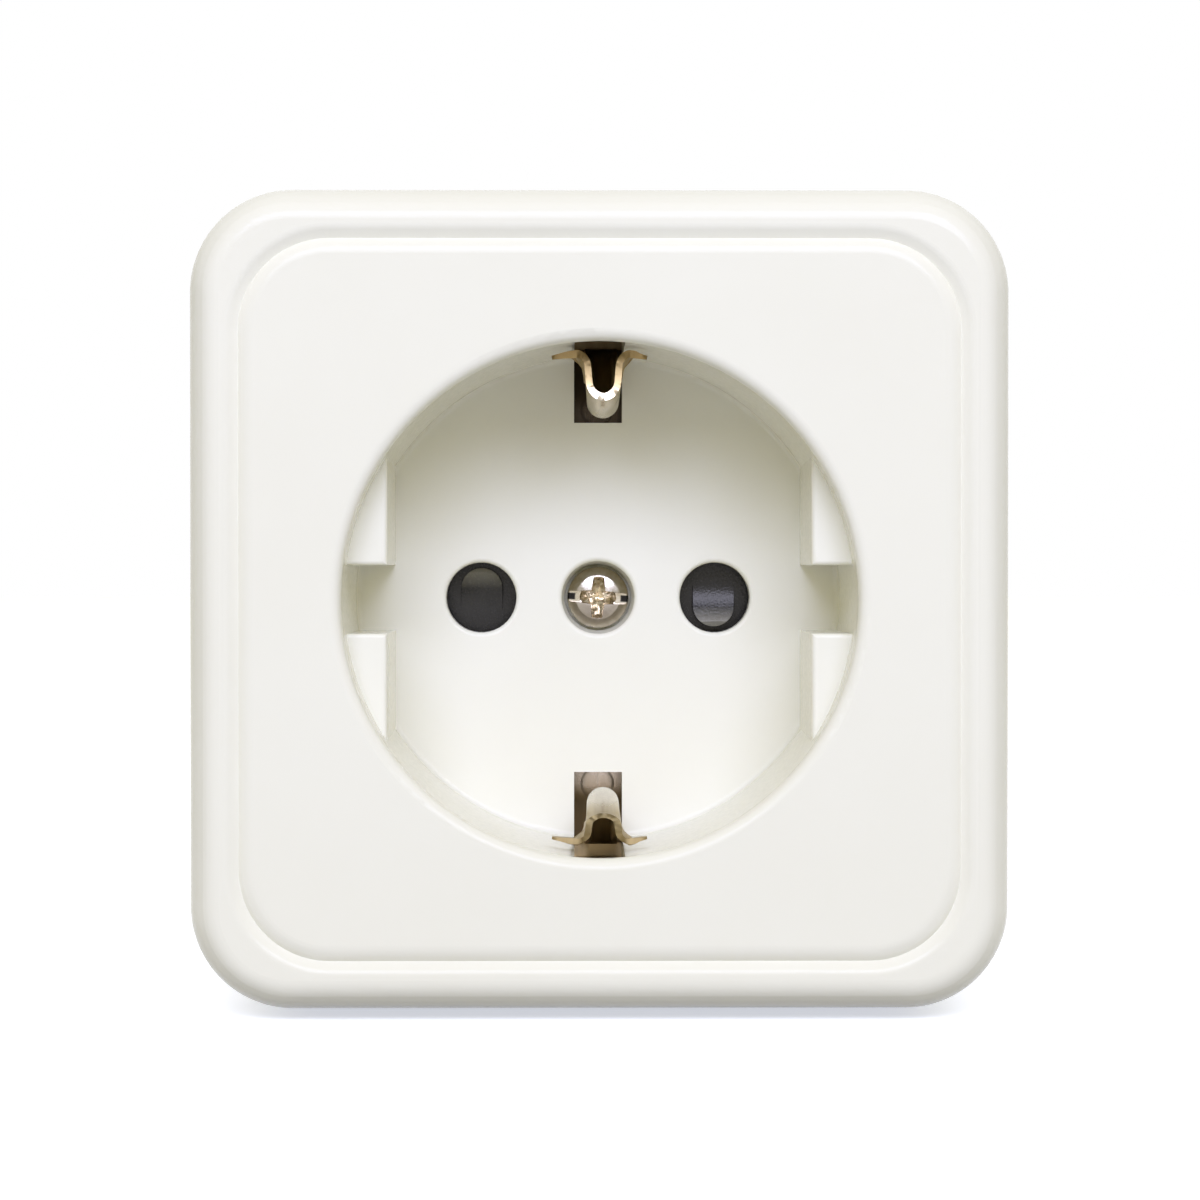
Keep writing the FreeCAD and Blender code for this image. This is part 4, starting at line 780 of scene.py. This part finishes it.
def makeShutter(cfg):
    mesh, work = mergedCopy("shutter_rotor")
    flat = math.radians(cfg["flatAngle"])
    bmesh.ops.dissolve_limit(work, angle_limit=flat, verts=work.verts, edges=work.edges)
    work.to_mesh(mesh)
    work.free()
    mesh.shade_smooth()
    holder = addObject("shutterHolder", mesh)
    edge = holder.modifiers.new("edge", "BEVEL")
    edge.width = cfg["edgeRound"] * mm
    edge.segments = cfg["edgeSteps"]
    edge.limit_method = "ANGLE"
    edge.angle_limit = math.radians(cfg["edgeAngle"])
    rounded = evaluatedMesh(holder)
    rounded.set_sharp_from_angle(angle=math.radians(cfg["sharpAngle"]))
    # the flat faces stay flat, and only the rounded edges turn the light
    holder.modifiers.remove(edge)
    holder.data = rounded
    level = holder.modifiers.new("level", "WEIGHTED_NORMAL")
    level.weight = cfg["flatWeight"]
    level.keep_sharp = True
    levelled = evaluatedMesh(holder)
    bpy.data.objects.remove(holder)
    return levelled


pieceFrom("shutterBody", makeShutter(shutterBody), shutterPlastic, "shutter",
          ["shutter_rotor"], 0)
print("shutter made")


# shutter spring: the CAD coil between the back plate and the shutter, baked in place; nothing here twists it as
# the shutter turns


def makeShutterSpring():
    mesh, work = mergedCopy("shutter_spring")
    work.to_mesh(mesh)
    work.free()
    piece = pieceFrom("shutterSpring", mesh, zincSteel, None, ["shutter_spring"])
    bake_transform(piece)


makeShutterSpring()
print("shutter spring made")


# floor, light and camera

stage = {
    "floorHalf": 3000, "floorTone": 0.50, "floorGlow": (0.57, 0.59, 0.65), "floorShade": 0.9,
    "ambient": 0.47, "ambientTint": (1.0, 0.84, 0.10), "sides": 0.36, "sidesFrom": (-0.55, 0.15),
    "behind": 1.0, "behindFrom": (0.20, 0.75),
    "keyPower": 6.2, "keyTint": (0.935, 1.0, 1.46), "keyWidth": 0.8, "keyHeight": 0.40,
    "keyDistance": 0.9, "keyRise": 31, "keySide": 1.5,
    "cameraPlace": (-2.5, -310.0, 3.1), "aim": (0.0, -40.0, 0.0),
    "lens": 106, "sensorWidth": 36, "clipStart": 0.01,
}


def seenDirectly(tree):
    # one for rays from the camera, a mirror or a lens, nought for light that falls on the object
    rays = tree.nodes.new("ShaderNodeLightPath")
    total = rays.outputs["Is Camera Ray"]
    for name in ("Is Glossy Ray", "Is Transmission Ray"):
        most = tree.nodes.new("ShaderNodeMath")
        most.operation = "MAXIMUM"
        tree.links.new(total, most.inputs[0])
        tree.links.new(rays.outputs[name], most.inputs[1])
        total = most.outputs[0]
    return total


def mixShaders(tree, share, first, second):
    mix = tree.nodes.new("ShaderNodeMixShader")
    for socket, value in zip(mix.inputs, (share, first, second)):
        tree.links.new(value, socket)
    return mix.outputs[0]


def colouredShader(tree, kind, tint):
    shader = tree.nodes.new(kind)
    shader.inputs["Color"].default_value = (*tint, 1)
    return shader


def makeFloor(cfg):
    half = cfg["floorHalf"] * mm
    level = cadBox[0][2]
    corners = [(x * half, y * half, level) for x, y in ((-1, -1), (1, -1), (1, 1), (-1, 1))]
    mesh = meshFrom("floor", corners, [(0, 1, 2, 3)])
    paint = bpy.data.materials.new("floorPaint")
    paint.use_nodes = True
    tree = paint.node_tree
    tree.nodes.clear()
    # seen directly it glows white and keeps the shadow, and the object only gets the light of a pale floor
    matt = colouredShader(tree, "ShaderNodeBsdfDiffuse", (cfg["floorTone"],) * 3)
    pale = colouredShader(tree, "ShaderNodeBsdfDiffuse", (cfg["floorShade"],) * 3)
    glow = colouredShader(tree, "ShaderNodeEmission", cfg["floorGlow"])
    shade = tree.nodes.new("ShaderNodeAddShader")
    tree.links.new(glow.outputs[0], shade.inputs[0])
    tree.links.new(pale.outputs[0], shade.inputs[1])
    both = mixShaders(tree, seenDirectly(tree), matt.outputs[0], shade.outputs[0])
    tree.links.new(both, tree.nodes.new("ShaderNodeOutputMaterial").inputs["Surface"])
    mesh.materials.append(paint)
    floor = addObject("floor", mesh)


def makeWorld(cfg):
    world = bpy.data.worlds.new("studio")
    bpy.context.scene.world = world
    world.use_nodes = True
    tree = world.node_tree
    tree.nodes.clear()
    # warm room light in front, white light from the sides, and more of it from the backdrop behind
    room = colouredShader(tree, "ShaderNodeBackground", cfg["ambientTint"])
    room.inputs["Strength"].default_value = cfg["ambient"]
    backdrop = colouredShader(tree, "ShaderNodeBackground", (1, 1, 1))
    seen = colouredShader(tree, "ShaderNodeBackground", (1, 1, 1))
    seen.inputs["Strength"].default_value = 1.0
    where = axisPart(tree, tree.nodes.new("ShaderNodeTexCoord").outputs["Generated"], "Y")
    strength = remapped(tree, where, cfg["behindFrom"], (cfg["sides"], cfg["behind"]))
    tree.links.new(strength, backdrop.inputs["Strength"])
    turn = remapped(tree, where, cfg["sidesFrom"])
    around = mixShaders(tree, turn, room.outputs[0], backdrop.outputs[0])
    both = mixShaders(tree, seenDirectly(tree), around, seen.outputs[0])
    tree.links.new(both, tree.nodes.new("ShaderNodeOutputWorld").inputs["Surface"])


def aimAt(obj, place, target):
    obj.location = place
    obj.rotation_euler = (target - place).to_track_quat("-Z", "Y").to_euler()


def makeKey(cfg):
    lamp = bpy.data.lights.new("key", "AREA")
    lamp.shape = "RECTANGLE"
    lamp.size = cfg["keyWidth"]
    lamp.size_y = cfg["keyHeight"]
    lamp.energy = cfg["keyPower"]
    lamp.color = cfg["keyTint"]
    rise = math.radians(cfg["keyRise"])
    side = math.radians(cfg["keySide"])
    flat = math.cos(rise)
    target = Vector(cfg["aim"]) * mm
    away = Vector((flat * math.sin(side), -flat * math.cos(side), math.sin(rise)))
    aimAt(addObject("key", lamp), target + away * cfg["keyDistance"], target)


def makeCamera(cfg):
    camera = bpy.data.cameras.new("camera")
    camera.lens = cfg["lens"]
    camera.sensor_width = cfg["sensorWidth"]
    camera.clip_start = cfg["clipStart"]
    obj = addObject("camera", camera)
    aimAt(obj, Vector(cfg["cameraPlace"]) * mm, Vector(cfg["aim"]) * mm)
    bpy.context.scene.camera = obj


makeFloor(stage)
makeWorld(stage)
makeKey(stage)
makeCamera(stage)
bpy.context.scene.view_settings.view_transform = "Standard"
print("stage set")
